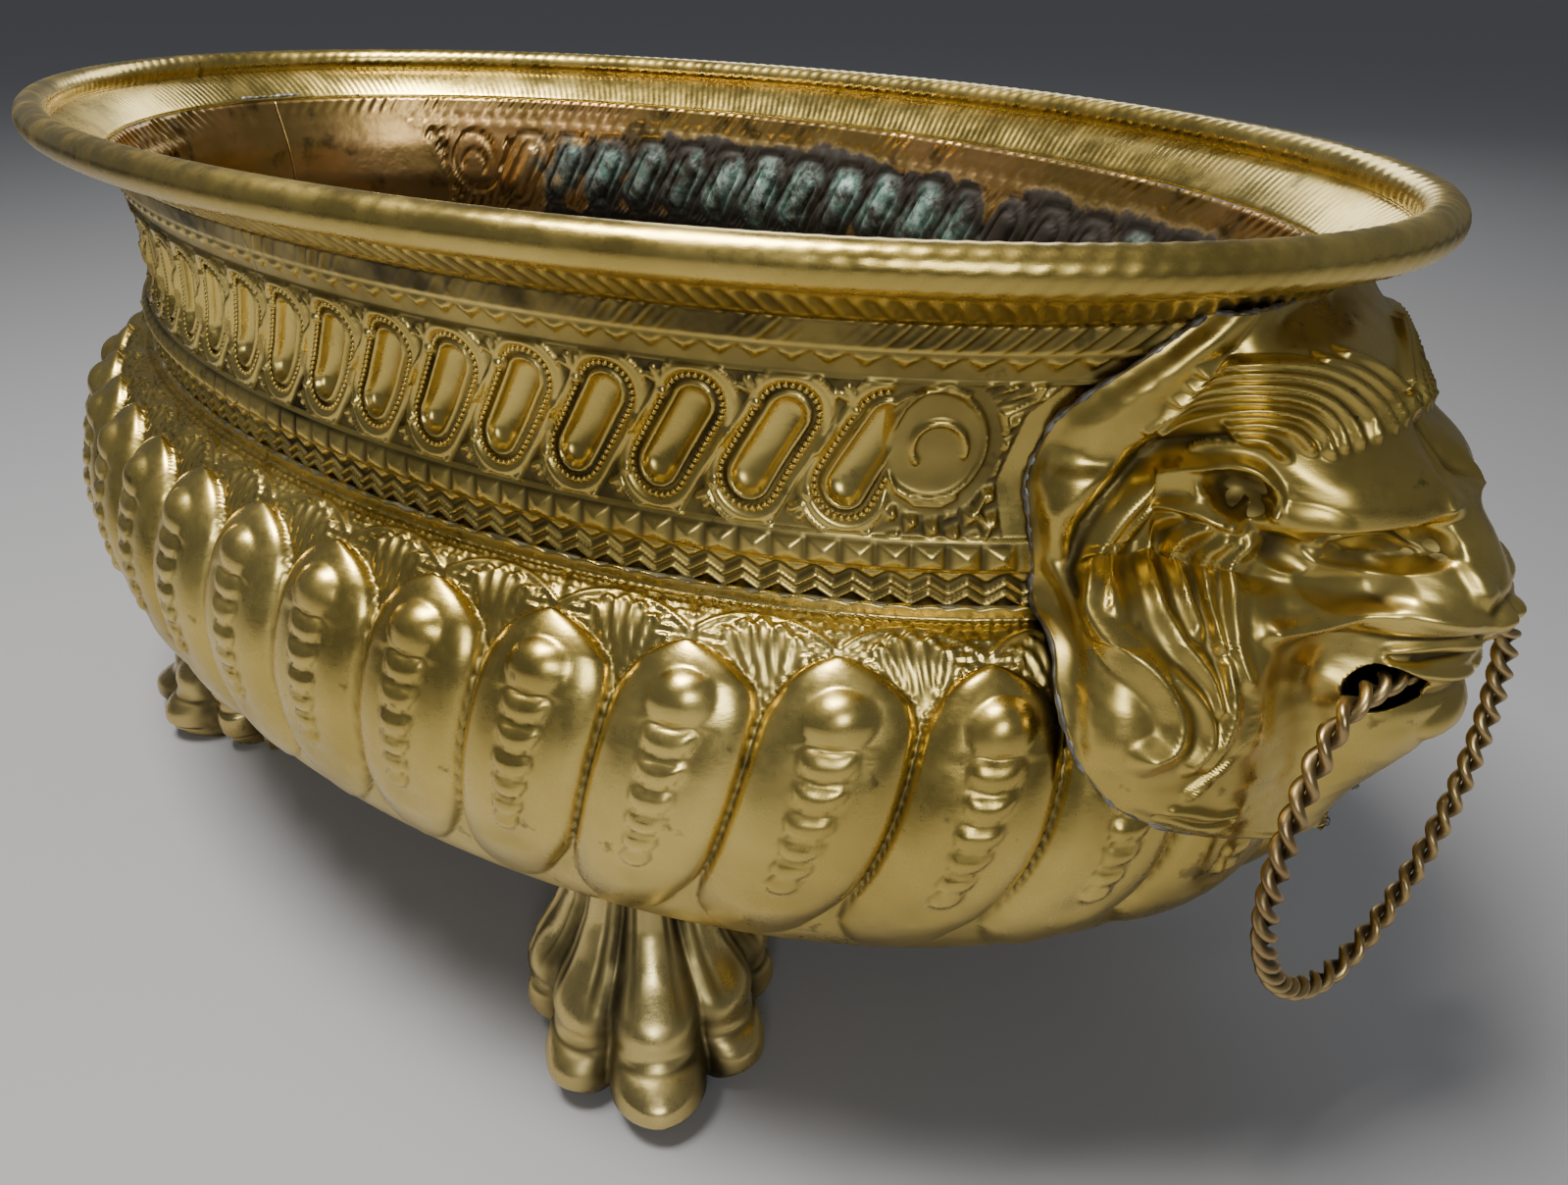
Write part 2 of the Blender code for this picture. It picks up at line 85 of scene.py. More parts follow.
def angles_at(lengths, inset):
    """Plan angles reached by walking these lengths along the ellipse from its +X end."""
    fine = np.linspace(-math.pi, TAU + math.pi, 24577)
    x, y = oval(fine, inset)
    walked = np.concatenate([[0.0], np.cumsum(np.hypot(np.diff(x), np.diff(y)))])
    walked -= np.interp(0.0, fine, walked)
    return np.interp(lengths, walked, fine)


def girth(inset):
    """Length once round the ellipse."""
    fine = np.linspace(0.0, TAU, 8193)
    return float(np.hypot(*np.diff(np.stack(oval(fine, inset)), axis=1)).sum())


def smooth_step(low, high, value):
    """0 below low, 1 above high, and 3t^2 - 2t^3 between. low may be the larger."""
    t = np.clip((value - low) / (high - low), 0.0, 1.0)
    return t * t * (3.0 - 2.0 * t)


def hump(value, width):
    """A round ridge: 1 on the line, falling as a Gauss bell to nothing past about `width`."""
    return np.exp(-((value / (0.5 * width)) ** 2))


print("once round the belly:", round(girth(-BELLY_OUTSET), 4), "m")

# %% [markdown]
# ## From a grid of points to a mesh
#
# Sheet metal is two skins and an edge. A grid of points with rows and columns becomes quads, and
# where a skin folds back on itself (out, round the edge, in) the rows simply close in a ring.
# Putting whole arrays into the mesh at once is far quicker than adding faces one at a time, and
# unlike modifiers on primitives it leaves every point where its formula says.


# %% Grid to mesh
def quads(rows, columns, wrap_rows=False, wrap_columns=False):
    """Corner numbers of a rows x columns grid's quads, joined round either way if asked."""
    i = np.arange(rows if wrap_rows else rows - 1)[:, None]
    j = np.arange(columns if wrap_columns else columns - 1)[None, :]
    below, right = (i + 1) % rows, (j + 1) % columns
    corners = [i * columns + j, i * columns + right, below * columns + right, below * columns + j]
    return np.stack([np.broadcast_to(c, (i.size, j.size)) for c in corners], axis=-1).reshape(-1, 4)


def mesh_piece(name, points, faces, caps=(), fields=None, merge=0.0):
    """An object at the origin from points, quads and any end caps, its faces turned outwards.
    fields are named numbers kept on the points, for the finish to read."""
    mesh = bpy.data.meshes.new(name)
    points = np.asarray(points, float).reshape(-1, 3)
    loops = np.concatenate([np.asarray(faces).ravel(), *[np.asarray(c) for c in caps]])
    sizes = np.concatenate([np.full(len(faces), len(faces[0])), [len(c) for c in caps]])
    mesh.vertices.add(len(points))
    mesh.vertices.foreach_set("co", points.ravel())
    mesh.loops.add(len(loops))
    mesh.loops.foreach_set("vertex_index", loops.astype(np.int32))
    mesh.polygons.add(len(sizes))
    starts = np.concatenate([[0], np.cumsum(sizes)[:-1]])
    mesh.polygons.foreach_set("loop_start", starts.astype(np.int32))
    for label, values in (fields or {}).items():
        layer = mesh.attributes.new(label, "FLOAT", "POINT")
        layer.data.foreach_set("value", np.asarray(values, np.float32).ravel())
    mesh.update(calc_edges=True)
    work = bmesh.new()
    work.from_mesh(mesh)
    if merge:
        bmesh.ops.remove_doubles(work, verts=work.verts, dist=merge)
    bmesh.ops.recalc_face_normals(work, faces=work.faces)
    work.to_mesh(mesh)
    work.free()
    mesh.shade_smooth()
    made = bpy.data.objects.new(name, mesh)
    bpy.context.scene.collection.objects.link(made)
    return made


def finish_piece(piece, finish, body="jardiniere", stands_for=()):
    """Gives a piece its finish and the body it rides on, and hides the plain nodes it stands for."""
    piece.data.materials.clear()
    piece.data.materials.append(finish)
    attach(piece, body)
    if stands_for:
        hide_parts(*stands_for)
    triangles = sum(len(p.vertices) - 2 for p in piece.data.polygons)
    print(f"{piece.name}: {triangles} triangles")


def strip(name, skin, fields=None, merge=0.0):
    """A bent strip from skin[row, column]: rows close in a ring, the two ends get flat caps."""
    rows, columns = skin.shape[:2]
    first = np.arange(rows) * columns
    caps = (first, first[::-1] + columns - 1)
    return mesh_piece(name, skin, quads(rows, columns, wrap_rows=True), caps, fields, merge)


def ring(name, skin, fields=None):
    """A closed band from skin[row, column]: rows and columns both close."""
    rows, columns = skin.shape[:2]
    return mesh_piece(name, skin, quads(rows, columns, True, True), (), fields)


# %% [markdown]
# ## The finishes
#
# Old brass is one metal in several states: rubbed bright where hands and cloths reach, brown
# where polish never gets in, and green inside where water stood. Each state is a noise pattern
# on the object's own coordinates mixed by a `hollow` number that every worked piece carries on
# its points, 1 deep in the relief and 0 on its crests. The brown it brings in is grime and painted
# shade together: recesses, creases, the flutes under the rim and the lower lobes are darkened where
# shade falls. Small dents and scratches are bump.
#
# Noise needs no picture files and no unwrapping, and it is as sharp close up as from afar.


# %% Finish helpers
def nodes_of(name):
    """A new finish, its node tree and its shader."""
    finish = bpy.data.materials.new(name)
    finish.use_nodes = True
    tree = finish.node_tree
    return finish, tree, tree.nodes["Principled BSDF"]


def noise(tree, scale, detail=4.0, rough=0.55, stretch=(1.0, 1.0, 1.0)):
    """Noise on Object coordinates, stretched where the pattern runs one way."""
    where = tree.nodes.new("ShaderNodeTexCoord")
    turn = tree.nodes.new("ShaderNodeMapping")
    turn.inputs["Scale"].default_value = stretch
    made = tree.nodes.new("ShaderNodeTexNoise")
    made.inputs["Scale"].default_value = scale
    made.inputs["Detail"].default_value = detail
    made.inputs["Roughness"].default_value = rough
    tree.links.new(where.outputs["Object"], turn.inputs["Vector"])
    tree.links.new(turn.outputs["Vector"], made.inputs["Vector"])
    return made.outputs["Fac"]


def ramp(tree, value, low, high, bottom=0.0, top=1.0):
    """Spreads value between low and high over bottom to top, with soft ends."""
    made = tree.nodes.new("ShaderNodeMapRange")
    made.interpolation_type = "SMOOTHSTEP"
    for socket, number in zip(("From Min", "From Max", "To Min", "To Max"), (low, high, bottom, top)):
        made.inputs[socket].default_value = number
    tree.links.new(value, made.inputs["Value"])
    return made.outputs["Result"]


def blend_colours(tree, share, first, second):
    """Mixes two colours, each a plain colour or another node's output, by share."""
    made = tree.nodes.new("ShaderNodeMix")
    made.data_type = "RGBA"
    tree.links.new(share, made.inputs["Factor"])
    for socket, colour in (("A", first), ("B", second)):
        target = [s for s in made.inputs if s.name == socket and s.type == "RGBA"][0]
        if isinstance(colour, tuple):
            target.default_value = (*colour, 1.0)
        else:
            tree.links.new(colour, target)
    return [s for s in made.outputs if s.type == "RGBA"][0]


def sums(tree, kind, first, second):
    """One sum of two values: MULTIPLY, ADD, MAXIMUM and so on."""
    made = tree.nodes.new("ShaderNodeMath")
    made.operation = kind
    made.use_clamp = kind == "ADD"
    for socket, value in zip(made.inputs, (first, second)):
        if isinstance(value, float):
            socket.default_value = value
        else:
            tree.links.new(value, socket)
    return made.outputs["Value"]


def field(tree, label):
    """A number kept on the points."""
    made = tree.nodes.new("ShaderNodeAttribute")
    made.attribute_name = label
    return made.outputs["Fac"]


def dents(tree, shader, *layers):
    """Chains (height, strength, distance) layers of bump on to the shader."""
    last = None
    for height, strength, distance in layers:
        made = tree.nodes.new("ShaderNodeBump")
        made.inputs["Strength"].default_value = strength
        made.inputs["Distance"].default_value = distance
        tree.links.new(height, made.inputs["Height"])
        if last:
            tree.links.new(last, made.inputs["Normal"])
        last = made.outputs["Normal"]
    tree.links.new(last, shader.inputs["Normal"])


# %% The brass finishes
BRIGHT, MELLOW = (0.80, 0.610, 0.185), (0.60, 0.440, 0.115)
# BROWN is the colour of the tarnish spots and also of the painted shade that `hollow` brings into recesses
BROWN, BLACKENED = (0.070, 0.056, 0.026), (0.030, 0.024, 0.018)
VERDIGRIS, CHALK = (0.20, 0.40, 0.33), (0.48, 0.64, 0.58)
DULL_GOLD, PINKISH = (0.36, 0.24, 0.075), (0.56, 0.34, 0.13)


def brass(name, bright, mellow, smoothest, roughest, grime_and_shade=1.0, wear=60.0, hammered=0.30):
    """Rubbed brass: mellow and bright patches, brown spots, and brown grime with painted shade where `hollow`
    is high.
    """
    finish, tree, shader = nodes_of(name)
    patches = ramp(tree, noise(tree, 9.0, 5.0), 0.38, 0.64)
    colour = blend_colours(tree, patches, mellow, bright)
    spots = ramp(tree, noise(tree, 85.0, 3.0, 0.6), 0.66, 0.74, 0.0, 0.55)
    colour = blend_colours(tree, spots, colour, BROWN)
    clouds = ramp(tree, noise(tree, 30.0, 4.0), 0.35, 0.70, 0.55, 1.0)
    # painted shade: BROWN is mixed in where `hollow` is high, as grime and as the shade in recesses, creases
    # and under the rim
    dirt_and_shade = sums(tree, "MULTIPLY", ramp(tree, field(tree, "hollow"), 0.08, 0.70, 0.0, grime_and_shade), clouds)
    colour = blend_colours(tree, dirt_and_shade, colour, BROWN)
    tree.links.new(colour, shader.inputs["Base Color"])
    shader.inputs["Metallic"].default_value = 1.0
    rubbed = ramp(tree, noise(tree, wear, 6.0, 0.7), 0.30, 0.72, smoothest, roughest)
    tree.links.new(sums(tree, "ADD", rubbed, sums(tree, "MULTIPLY", dirt_and_shade, 0.25)),
                   shader.inputs["Roughness"])
    beaten = noise(tree, 55.0, 2.0)
    scratches = noise(tree, 240.0, 3.0, 0.6, (1.0, 1.0, 4.0))
    dents(tree, shader, (beaten, hammered, 0.0012), (scratches, 0.10, 0.0004))
    return finish


polished_brass = brass("polished brass", BRIGHT, MELLOW, 0.20, 0.36, 0.85)
embossed_brass = brass("embossed brass", BRIGHT, (0.58, 0.430, 0.115), 0.22, 0.38, 1.0, 90.0, 0.12)
mask_brass = brass("chased brass", BRIGHT, MELLOW, 0.24, 0.38, 0.95, 60.0, 0.08)
cast_brass = brass("cast brass", (0.74, 0.58, 0.22), (0.50, 0.37, 0.14), 0.20, 0.38, 1.0)
antique_brass = brass("antique brass", (0.62, 0.45, 0.20), (0.40, 0.27, 0.12), 0.28, 0.42)


def aged_inside(name):
    """The inside of the pot: dull gold above, blackened below, green where `verdigris` is high."""
    finish, tree, shader = nodes_of(name)
    patches = ramp(tree, noise(tree, 14.0, 5.0), 0.40, 0.62)
    gold = blend_colours(tree, patches, DULL_GOLD, PINKISH)
    gold = blend_colours(tree, ramp(tree, noise(tree, 40.0, 5.0), 0.55, 0.68, 0.0, 0.8), gold, BROWN)
    ragged = ramp(tree, noise(tree, 22.0, 6.0, 0.65), 0.3, 0.7, -0.30, 0.30)
    tarnish = ramp(tree, sums(tree, "ADD", field(tree, "tarnish"), ragged), 0.35, 0.62)
    colour = blend_colours(tree, tarnish, gold, BLACKENED)
    crust = ramp(tree, noise(tree, 75.0, 9.0, 0.75), 0.40, 0.66)
    drifts = ramp(tree, noise(tree, 11.0, 3.0), 0.38, 0.62)
    green = sums(tree, "MULTIPLY", sums(tree, "MULTIPLY", field(tree, "verdigris"), crust), drifts)
    chalk = blend_colours(tree, ramp(tree, noise(tree, 130.0, 5.0), 0.38, 0.60), VERDIGRIS, CHALK)
    colour = blend_colours(tree, green, colour, chalk)
    tree.links.new(colour, shader.inputs["Base Color"])
    crusted = sums(tree, "MAXIMUM", green, sums(tree, "MULTIPLY", tarnish, 0.6))
    tree.links.new(sums(tree, "SUBTRACT", 1.0, crusted), shader.inputs["Metallic"])
    tree.links.new(ramp(tree, sums(tree, "MAXIMUM", green, tarnish), 0.0, 1.0, 0.34, 0.62),
                   shader.inputs["Roughness"])
    dents(tree, shader, (noise(tree, 45.0, 3.0), 0.4, 0.0015), (noise(tree, 300.0, 4.0), 0.25, 0.0005))
    return finish


inside_brass = aged_inside("aged inside")


def plain_finish(name, colour, darker, metallic, roughness, scale):
    """Two shades of one colour in patches, with a slight grain."""
    finish, tree, shader = nodes_of(name)
    mixed = blend_colours(tree, ramp(tree, noise(tree, scale, 5.0), 0.35, 0.65), darker, colour)
    tree.links.new(mixed, shader.inputs["Base Color"])
    shader.inputs["Metallic"].default_value = metallic
    tree.links.new(ramp(tree, noise(tree, scale * 2.0), 0.3, 0.7, roughness - 0.08, roughness + 0.1),
                   shader.inputs["Roughness"])
    dents(tree, shader, (noise(tree, scale * 3.0), 0.3, 0.0005))
    return finish


grey_solder = plain_finish("grey solder", (0.36, 0.35, 0.33), (0.13, 0.12, 0.10), 0.8, 0.5, 160.0)
dull_solder = plain_finish("dull solder", (0.50, 0.46, 0.30), (0.22, 0.19, 0.10), 0.8, 0.5, 160.0)
brass_fixings = plain_finish("old brass fixings", (0.40, 0.29, 0.12), (0.20, 0.13, 0.05), 1.0, 0.45, 120.0)
iron_wire = plain_finish("iron wire", (0.16, 0.13, 0.11), (0.10, 0.05, 0.03), 0.7, 0.6, 140.0)
print("finishes:", len(bpy.data.materials))

# %% [markdown]
# ## The gadrooned bowl
#
# A raiser sinks the bowl from one disc, then chases 38 cushions into it from the inside. Walking
# down the outside from the lip, the skin is a plain section; the relief is a height added along
# its normal. Each lobe is a half-round cushion with an almond outline, standing on a ground that
# sinks away between the lobes. Down its crest run a bud and a column of small pressed cushions,
# and a fan of petals fills each valley under the pebbled shoulder.
#
# One sculpted lobe copied 38 times would leave a seam at every copy. A height worked out from
# distances keeps the sheet whole, and one changed number moves every lobe.

# %% The bowl's section
LIP_PART, SHOULDER_PART, CURVE_START, CURVE_PART = 0.1, 0.35, 0.45, 0.55    # shares of the stations
SHOULDER_POWER = 1.7


def shoulder_inset(share):
    """Inset of the shoulder, bent like a superellipse from the belly (0) up to the lip (1)."""
    return -BELLY_OUTSET + (LIP_INSET + BELLY_OUTSET) * (1.0 - np.sqrt(1.0 - share**SHOULDER_POWER))


def bowl_section(station):
    """Inset, plan scale and height at stations 0 to 1: an upright lip, the shoulder, and a lower
    curve |r|^n + |z|^n = 1 down to the flat bottom."""
    station = np.asarray(station, float)
    share = np.clip(1.0 - (station - LIP_PART) / SHOULDER_PART, 0.0, 1.0)
    height = BELLY_HEIGHT + (SHOULDER_TOP - BELLY_HEIGHT) * share
    height = height + (LIP_TOP - SHOULDER_TOP) * np.clip(1.0 - station / LIP_PART, 0.0, 1.0)
    turn = 0.5 * math.pi * np.clip((station - CURVE_START) / CURVE_PART, 0.0, 1.0)
    power = 2.0 / ROUNDNESS
    scale = np.maximum(np.cos(turn), 1e-9) ** power
    height = height - (BELLY_HEIGHT - BOTTOM_HEIGHT) * np.sin(turn) ** power
    return shoulder_inset(share), scale, height


def section_walk(walks):
    """Section values at these distances walked down from the lip, and the whole walk. The walk
    is measured across the pot's width."""
    fine = np.linspace(0.0, 1.0, 6001)
    inset, scale, height = bowl_section(fine)
    out = (HALF_WIDTH - inset) * scale
    walked = np.concatenate([[0.0], np.cumsum(np.hypot(np.diff(out), np.diff(height)))])
    return bowl_section(np.interp(walks, walked, fine)), walked[-1]


def normals_of(points):
    """Unit normals of a grid from the cross product of its two directions."""
    across = np.gradient(points, axis=1)
    down = np.gradient(points, axis=0)
    normal = np.cross(across, down)
    return normal / np.maximum(np.linalg.norm(normal, axis=-1, keepdims=True), 1e-12)


print("walk down the bowl:", round(section_walk([0.0])[1], 4), "m")

# %% The lobes
BELT = girth(-BELLY_OUTSET)
PITCH = BELT / LOBES
LOBE_LEAN, SPACING_SHIFT, SPACING_DRIFT = 0.026, 0.13, 0.030
# distances walked down from the lip, in metres
LOBE_TOP, LOBE_SHOULDER, LOBE_WAIST, LOBE_FOOT = 0.0190, 0.040, 0.086, 0.124
BUD_WALK, BUD_LONG, BUD_WIDE, BUD_RISE = 0.0360, 0.0082, 0.0100, 0.0030
TROUGH_WIDE, TROUGH_DEPTH = 0.019, 0.0014
CUSHIONS, FIRST_CUSHION, CUSHION_PITCH = 6, 0.0485, 0.0094
CUSHION_WIDE, CUSHION_TALL, CUSHION_RISE = 0.0078, 0.0044, 0.0025


def lobe_place(along, walk):
    """Signed distance from the nearest lobe's crest in half-pitches (-1 to 1), and its number.
    Lower down the lobes lean towards the middle of each long side."""
    quarter = 2.0 * TAU * along / BELT
    side = np.abs(((along / BELT) * 2.0) % 1.0 - 0.5) * 2.0
    lean = LOBE_LEAN * np.sin(quarter) * (0.25 + 0.75 * side)
    place = (along - lean * np.clip(walk - 0.030, 0.0, 0.08) / 0.060) / PITCH
    # the lobes drift a little along each long side, and not at its ends
    from_middle = place - 0.25 * LOBES
    near_end = np.minimum(place, 0.5 * LOBES - place)
    place = place + (SPACING_SHIFT - SPACING_DRIFT * from_middle) * smooth_step(0.2, 3.2, near_end)
    number = np.round(place)
    return 2.0 * (place - number), number


def crest_relief(side, walk, height, hollow):
    """Adds the column on a lobe's crest: a bud, then cushions in a trough, shrinking downwards."""
    bud = np.clip(1.0 - (side / BUD_WIDE) ** 2 - ((walk - BUD_WALK) / BUD_LONG) ** 2, 0.0, 1.0)
    height = height + BUD_RISE * bud**1.1
    ends = (smooth_step(0.042, 0.046, walk), 1.0 - smooth_step(0.092, 0.102, walk))
    height = height - TROUGH_DEPTH * (hump(np.abs(side), TROUGH_WIDE) * ends[0] * ends[1])
    for step in range(CUSHIONS):
        middle = FIRST_CUSHION + CUSHION_PITCH * step - 0.0003 * step**2
        wide, tall = CUSHION_WIDE - 0.0007 * step, CUSHION_TALL - 0.0002 * step
        bowed = walk - middle + 55.0 * side**2 * (1.0 if step % 2 else 0.6)
        body = np.clip(1.0 - (np.abs(side) / wide) ** 3 - (np.abs(bowed) / tall) ** 2.4, 0.0, 1.0)
        height = height + (CUSHION_RISE - 0.0001 * step) * body**0.75
        # a ring of grime and painted shade round each cushion
        rim = np.clip(1.0 - np.abs((side / wide) ** 2 + (bowed / tall) ** 2 - 1.15) / 0.45, 0.0, 1.0)
        hollow = np.maximum(hollow, 0.55 * rim)
    return height, hollow


def lobe_relief(along, walk, chased=True):
    """Height above the plain section, its grime and painted shade (`hollow`), the distance across the lobe
    and its half width there, both in half-pitches. Unchased lobes have no column on the crest."""
    across, number = lobe_place(along, walk)
    odd = np.sin(number * 12.9898) * 0.5 + np.sin(number * 4.1414) * 0.5
    top = LOBE_TOP + 0.0010 * odd
    rise = np.clip((LOBE_SHOULDER - walk) / (LOBE_SHOULDER - top), 0.0, 1.0)
    fall = np.clip((walk - LOBE_WAIST) / (LOBE_FOOT - LOBE_WAIST), 0.0, 1.0)
    half = np.sqrt(np.clip(1.0 - rise**2.0, 0.0, 1.0)) * np.sqrt(np.clip(1.0 - fall**3.0, 0.0, 1.0)) * 0.975
    sink = LOBE_DEPTH * smooth_step(0.006, 0.036, walk) * (1.0 - smooth_step(0.100, 0.132, walk))
    dome = np.sqrt(np.clip(1.0 - (across / np.maximum(half, 1e-3)) ** 2, 0.0, 1.0)) ** 0.9
    dome = np.where(half > 0.02, dome, 0.0)
    height = -sink * (1.0 - dome) + 0.0011 * dome * hump(walk - 0.026, 0.030)
    # grime and painted shade along each lobe's edge, where the lobes meet
    edge = np.clip(1.0 - np.abs(np.abs(across) - half) / 0.10, 0.0, 1.0)
    hollow = edge**2 * 0.75 * smooth_step(0.010, 0.03, walk) * (1.0 - smooth_step(0.112, 0.128, walk))
    if chased:
        height, hollow = crest_relief(across * 0.5 * PITCH + 0.0006 * odd, walk, height, hollow)
    return height, hollow, across, half


# %% Petals and pebbles
FAN_WALK, FAN_REACH, PETAL_TURN, FAN_TURN = 0.0400, 0.0300, 11.5, 41.0
PEBBLE_LONG, PEBBLE_TALL, PEBBLE_ROUND, PEBBLE_RISE = 0.0029, 0.0025, 0.47, 0.0009


def petal_relief(across, walk, half):
    """Fans of seven petals in the valleys: ridges at equal turns about the point of the valley."""
    side = (1.0 - np.abs(across)) * np.sign(-across) * 0.5 * PITCH
    reach = np.hypot(side, FAN_WALK - walk)
    turn = np.degrees(np.arctan2(side, FAN_WALK - walk))
    inside = (np.abs(across) > half + 0.02) * smooth_step(0.004, 0.0075, walk)
    petal = (turn / PETAL_TURN + 0.5) % 1.0 - 0.5
    edge = FAN_REACH - 0.0050 * (turn / 34.0) ** 2 - 0.0030 * (2.0 * petal) ** 2
    within = (reach < edge) * (np.abs(turn) < FAN_TURN) * inside * (reach > 0.004)
    ridges = hump(np.abs(petal) - 0.5, 0.30) * within
    cup = hump(reach - edge, 0.0016) * (np.abs(turn) < FAN_TURN) * inside
    scroll = hump(reach - FAN_REACH - 0.0015, 0.0017) * (np.abs(turn) < FAN_TURN + 7.0) * inside
    raised = np.maximum(np.maximum(0.0012 * ridges, 0.0012 * cup), 0.0010 * scroll)
    body = 0.0004 * within * np.cos(math.pi * petal)
    # second value: grime and painted shade in the valleys, lighter on the raised petals
    return raised + body, np.where(inside > 0, 0.60 - 0.9 * np.clip(raised / 0.0008, 0, 1), 0.0)


def pebbles(along, walk):
    """Pressed pebbles on a slightly uneven brick lattice, on the ground above the lobes."""
    row = walk / PEBBLE_TALL
    line = np.floor(row)
    column = along / PEBBLE_LONG + 0.5 * (line % 2.0) + 0.15 * np.sin(line * 5.1 + along * 160.0)
    middle = ((column % 1.0 - 0.5) / PEBBLE_ROUND) ** 2
    return np.clip(1.0 - middle - ((row % 1.0 - 0.5) / PEBBLE_ROUND) ** 2, 0.0, 1.0) ** 0.6


# %% The two halves of the bowl's skin
BOWL_COLUMNS, INNER_DROP = 722, SHEET + 0.0016


def skin_fields(hollow, tarnish, green):
    """Numbers for both skins of a sheet. The inner skin's rows run the other way."""
    outside, within = np.zeros(hollow.shape), np.zeros(tarnish.shape)
    return {"hollow": np.concatenate([hollow, within]),
            "inside": np.concatenate([outside, within + 1.0]),
            "tarnish": np.concatenate([outside, tarnish[::-1]]),
            "verdigris": np.concatenate([outside, green[::-1]])}


def bowl_skin(along, rows_at, relief):
    """Points of the front half's skin, moved along the plain section's normal by the relief."""
    (inset, scale, height), _ = section_walk(rows_at)
    x, y = oval(angles_at(along, -BELLY_OUTSET)[None, :], inset[:, None])
    plain = np.stack([x * scale[:, None], y * scale[:, None],
                      np.broadcast_to(height[:, None], x.shape)], axis=-1)
    plain[..., 1] *= -1.0
    normal = normals_of(plain)
    normal[-1] = (0.0, 0.0, -1.0)
    return plain + normal * relief[..., None]


def bowl_half(name, side):
    """One long side of the bowl as a closed shell, from lion to lion: outer skin with its relief,
    over the lip, and a plainer inner skin that follows the lobes from behind."""
    along = np.linspace(0.0, 0.5 * BELT, BOWL_COLUMNS)
    whole = section_walk([0.0])[1]
    walks = np.concatenate([np.arange(0.0, 0.046, 0.00075), np.arange(0.046, 0.128, 0.00165),
                            np.linspace(0.128, whole, 9)])
    grid_along, grid_walk = np.meshgrid(along, walks)
    height, hollow, across, half = lobe_relief(grid_along, grid_walk)
    fan, shade = petal_relief(across, grid_walk, half)
    ground = (np.abs(across) > half + 0.03) * smooth_step(0.0030, 0.0042, grid_walk) * (grid_walk < 0.036)
    bare = ground * (fan < 1e-5)
    stones = pebbles(grid_along, grid_walk)
    height = height + fan + PEBBLE_RISE * (stones * bare)
    # grime and painted shade on the ground round the pebbles and in the fans
    hollow = np.maximum(hollow, np.maximum(0.45 * shade * ground, 0.30 * bare * (1.0 - stones * bare) ** 2))
    # painted shade: the lower lobes are darkened, standing for the shade and the darker reflection low on the
    # bowl
    hollow = np.maximum(hollow, 0.34 * smooth_step(0.050, 0.112, grid_walk))
    outer = bowl_skin(along, walks, height)
    # the lip ends in a row of small scallops
    scallop = 0.0008 * np.abs(np.sin(math.pi * grid_along / 0.0103)) - 0.0004
    outer[..., 2] += scallop * (grid_walk < 0.0012)
    in_walks = np.concatenate([np.linspace(0.0, 0.045, 10), np.linspace(0.052, 0.130, 13),
                               np.linspace(0.15, whole, 5)])
    in_along, in_walk = np.meshgrid(along, in_walks)
    inner = bowl_skin(along, in_walks, lobe_relief(in_along, in_walk, chased=False)[0] - INNER_DROP)
    inner[0, :, 2] = outer[0, :, 2]
    points = np.concatenate([outer, inner[::-1]])
    points[..., 1] *= -side
    green = hump(in_walk - 0.03, 0.06) * 0.8
    return strip(name, points, skin_fields(hollow, np.full(in_walk.shape, 0.95), green), merge=1e-6)


def two_sided(piece, inside_finish, finish, stands_for):
    """Puts the inside finish on the faces whose points carry inside = 1."""
    marks = np.empty(len(piece.data.vertices), np.float32)
    piece.data.attributes["inside"].data.foreach_get("value", marks)
    finish_piece(piece, finish, stands_for=stands_for)
    piece.data.materials.append(inside_finish)
    loops = np.empty(len(piece.data.loops), np.int32)
    piece.data.loops.foreach_get("vertex_index", loops)
    starts = np.empty(len(piece.data.polygons), np.int32)
    piece.data.polygons.foreach_get("loop_start", starts)
    within = np.add.reduceat(marks[loops], starts) > 3.5
    piece.data.polygons.foreach_set("material_index", within.astype(np.int32))


for label, side in (("front", -1.0), ("back", 1.0)):
    shell = bowl_half(f"bowl_{label}_side", side)
    two_sided(shell, inside_brass, polished_brass, ("gadrooned_bowl",))

# %% [markdown]
# ## The embossed neck
#
# Each long side of the neck is one strip, pressed flat over a patterned block and then bent. The
# pattern is a height worked out from distances: a capsule's distance gives the pool, its raised
# line and its smooth band at once. The mesh columns lean with the ovals, so that their long
# sides run along the mesh and stay crisp. The rows of small beads are separate low domes.
#
# A displacement picture would do the same job, but its detail is only as fine as its dots, and a
# changed pitch would mean a new picture.

# %% The neck's sizes
CREASE_HEIGHT, NECK_FOOT, NECK_TOP = 0.2669, 0.1864, 0.2667
NECK_STATIONS = ((0.0, 0.0232), (0.22, 0.0242), (0.48, 0.0297), (0.72, 0.0285), (0.90, 0.0235),
                 (1.0, 0.0207))
NECK_SHEET, FRIEZE_INSET = 0.0009, 0.024
HALF_GIRTH = 0.5 * girth(FRIEZE_INSET)
OVALS, OVAL_PITCH, FIRST_OVAL, FRIEZE_HEIGHT = 18, 0.0257, 0.1222, 0.2305
OVAL_LEAN, OVAL_HALF = math.radians(30.0), 0.0105
COLLAR_SEAM = ((0.1864, 0.0793), (0.202, 0.0793), (0.213, 0.0812), (0.224, 0.0822),
               (0.242, 0.0766), (0.250, 0.0688), (0.266, 0.0499))


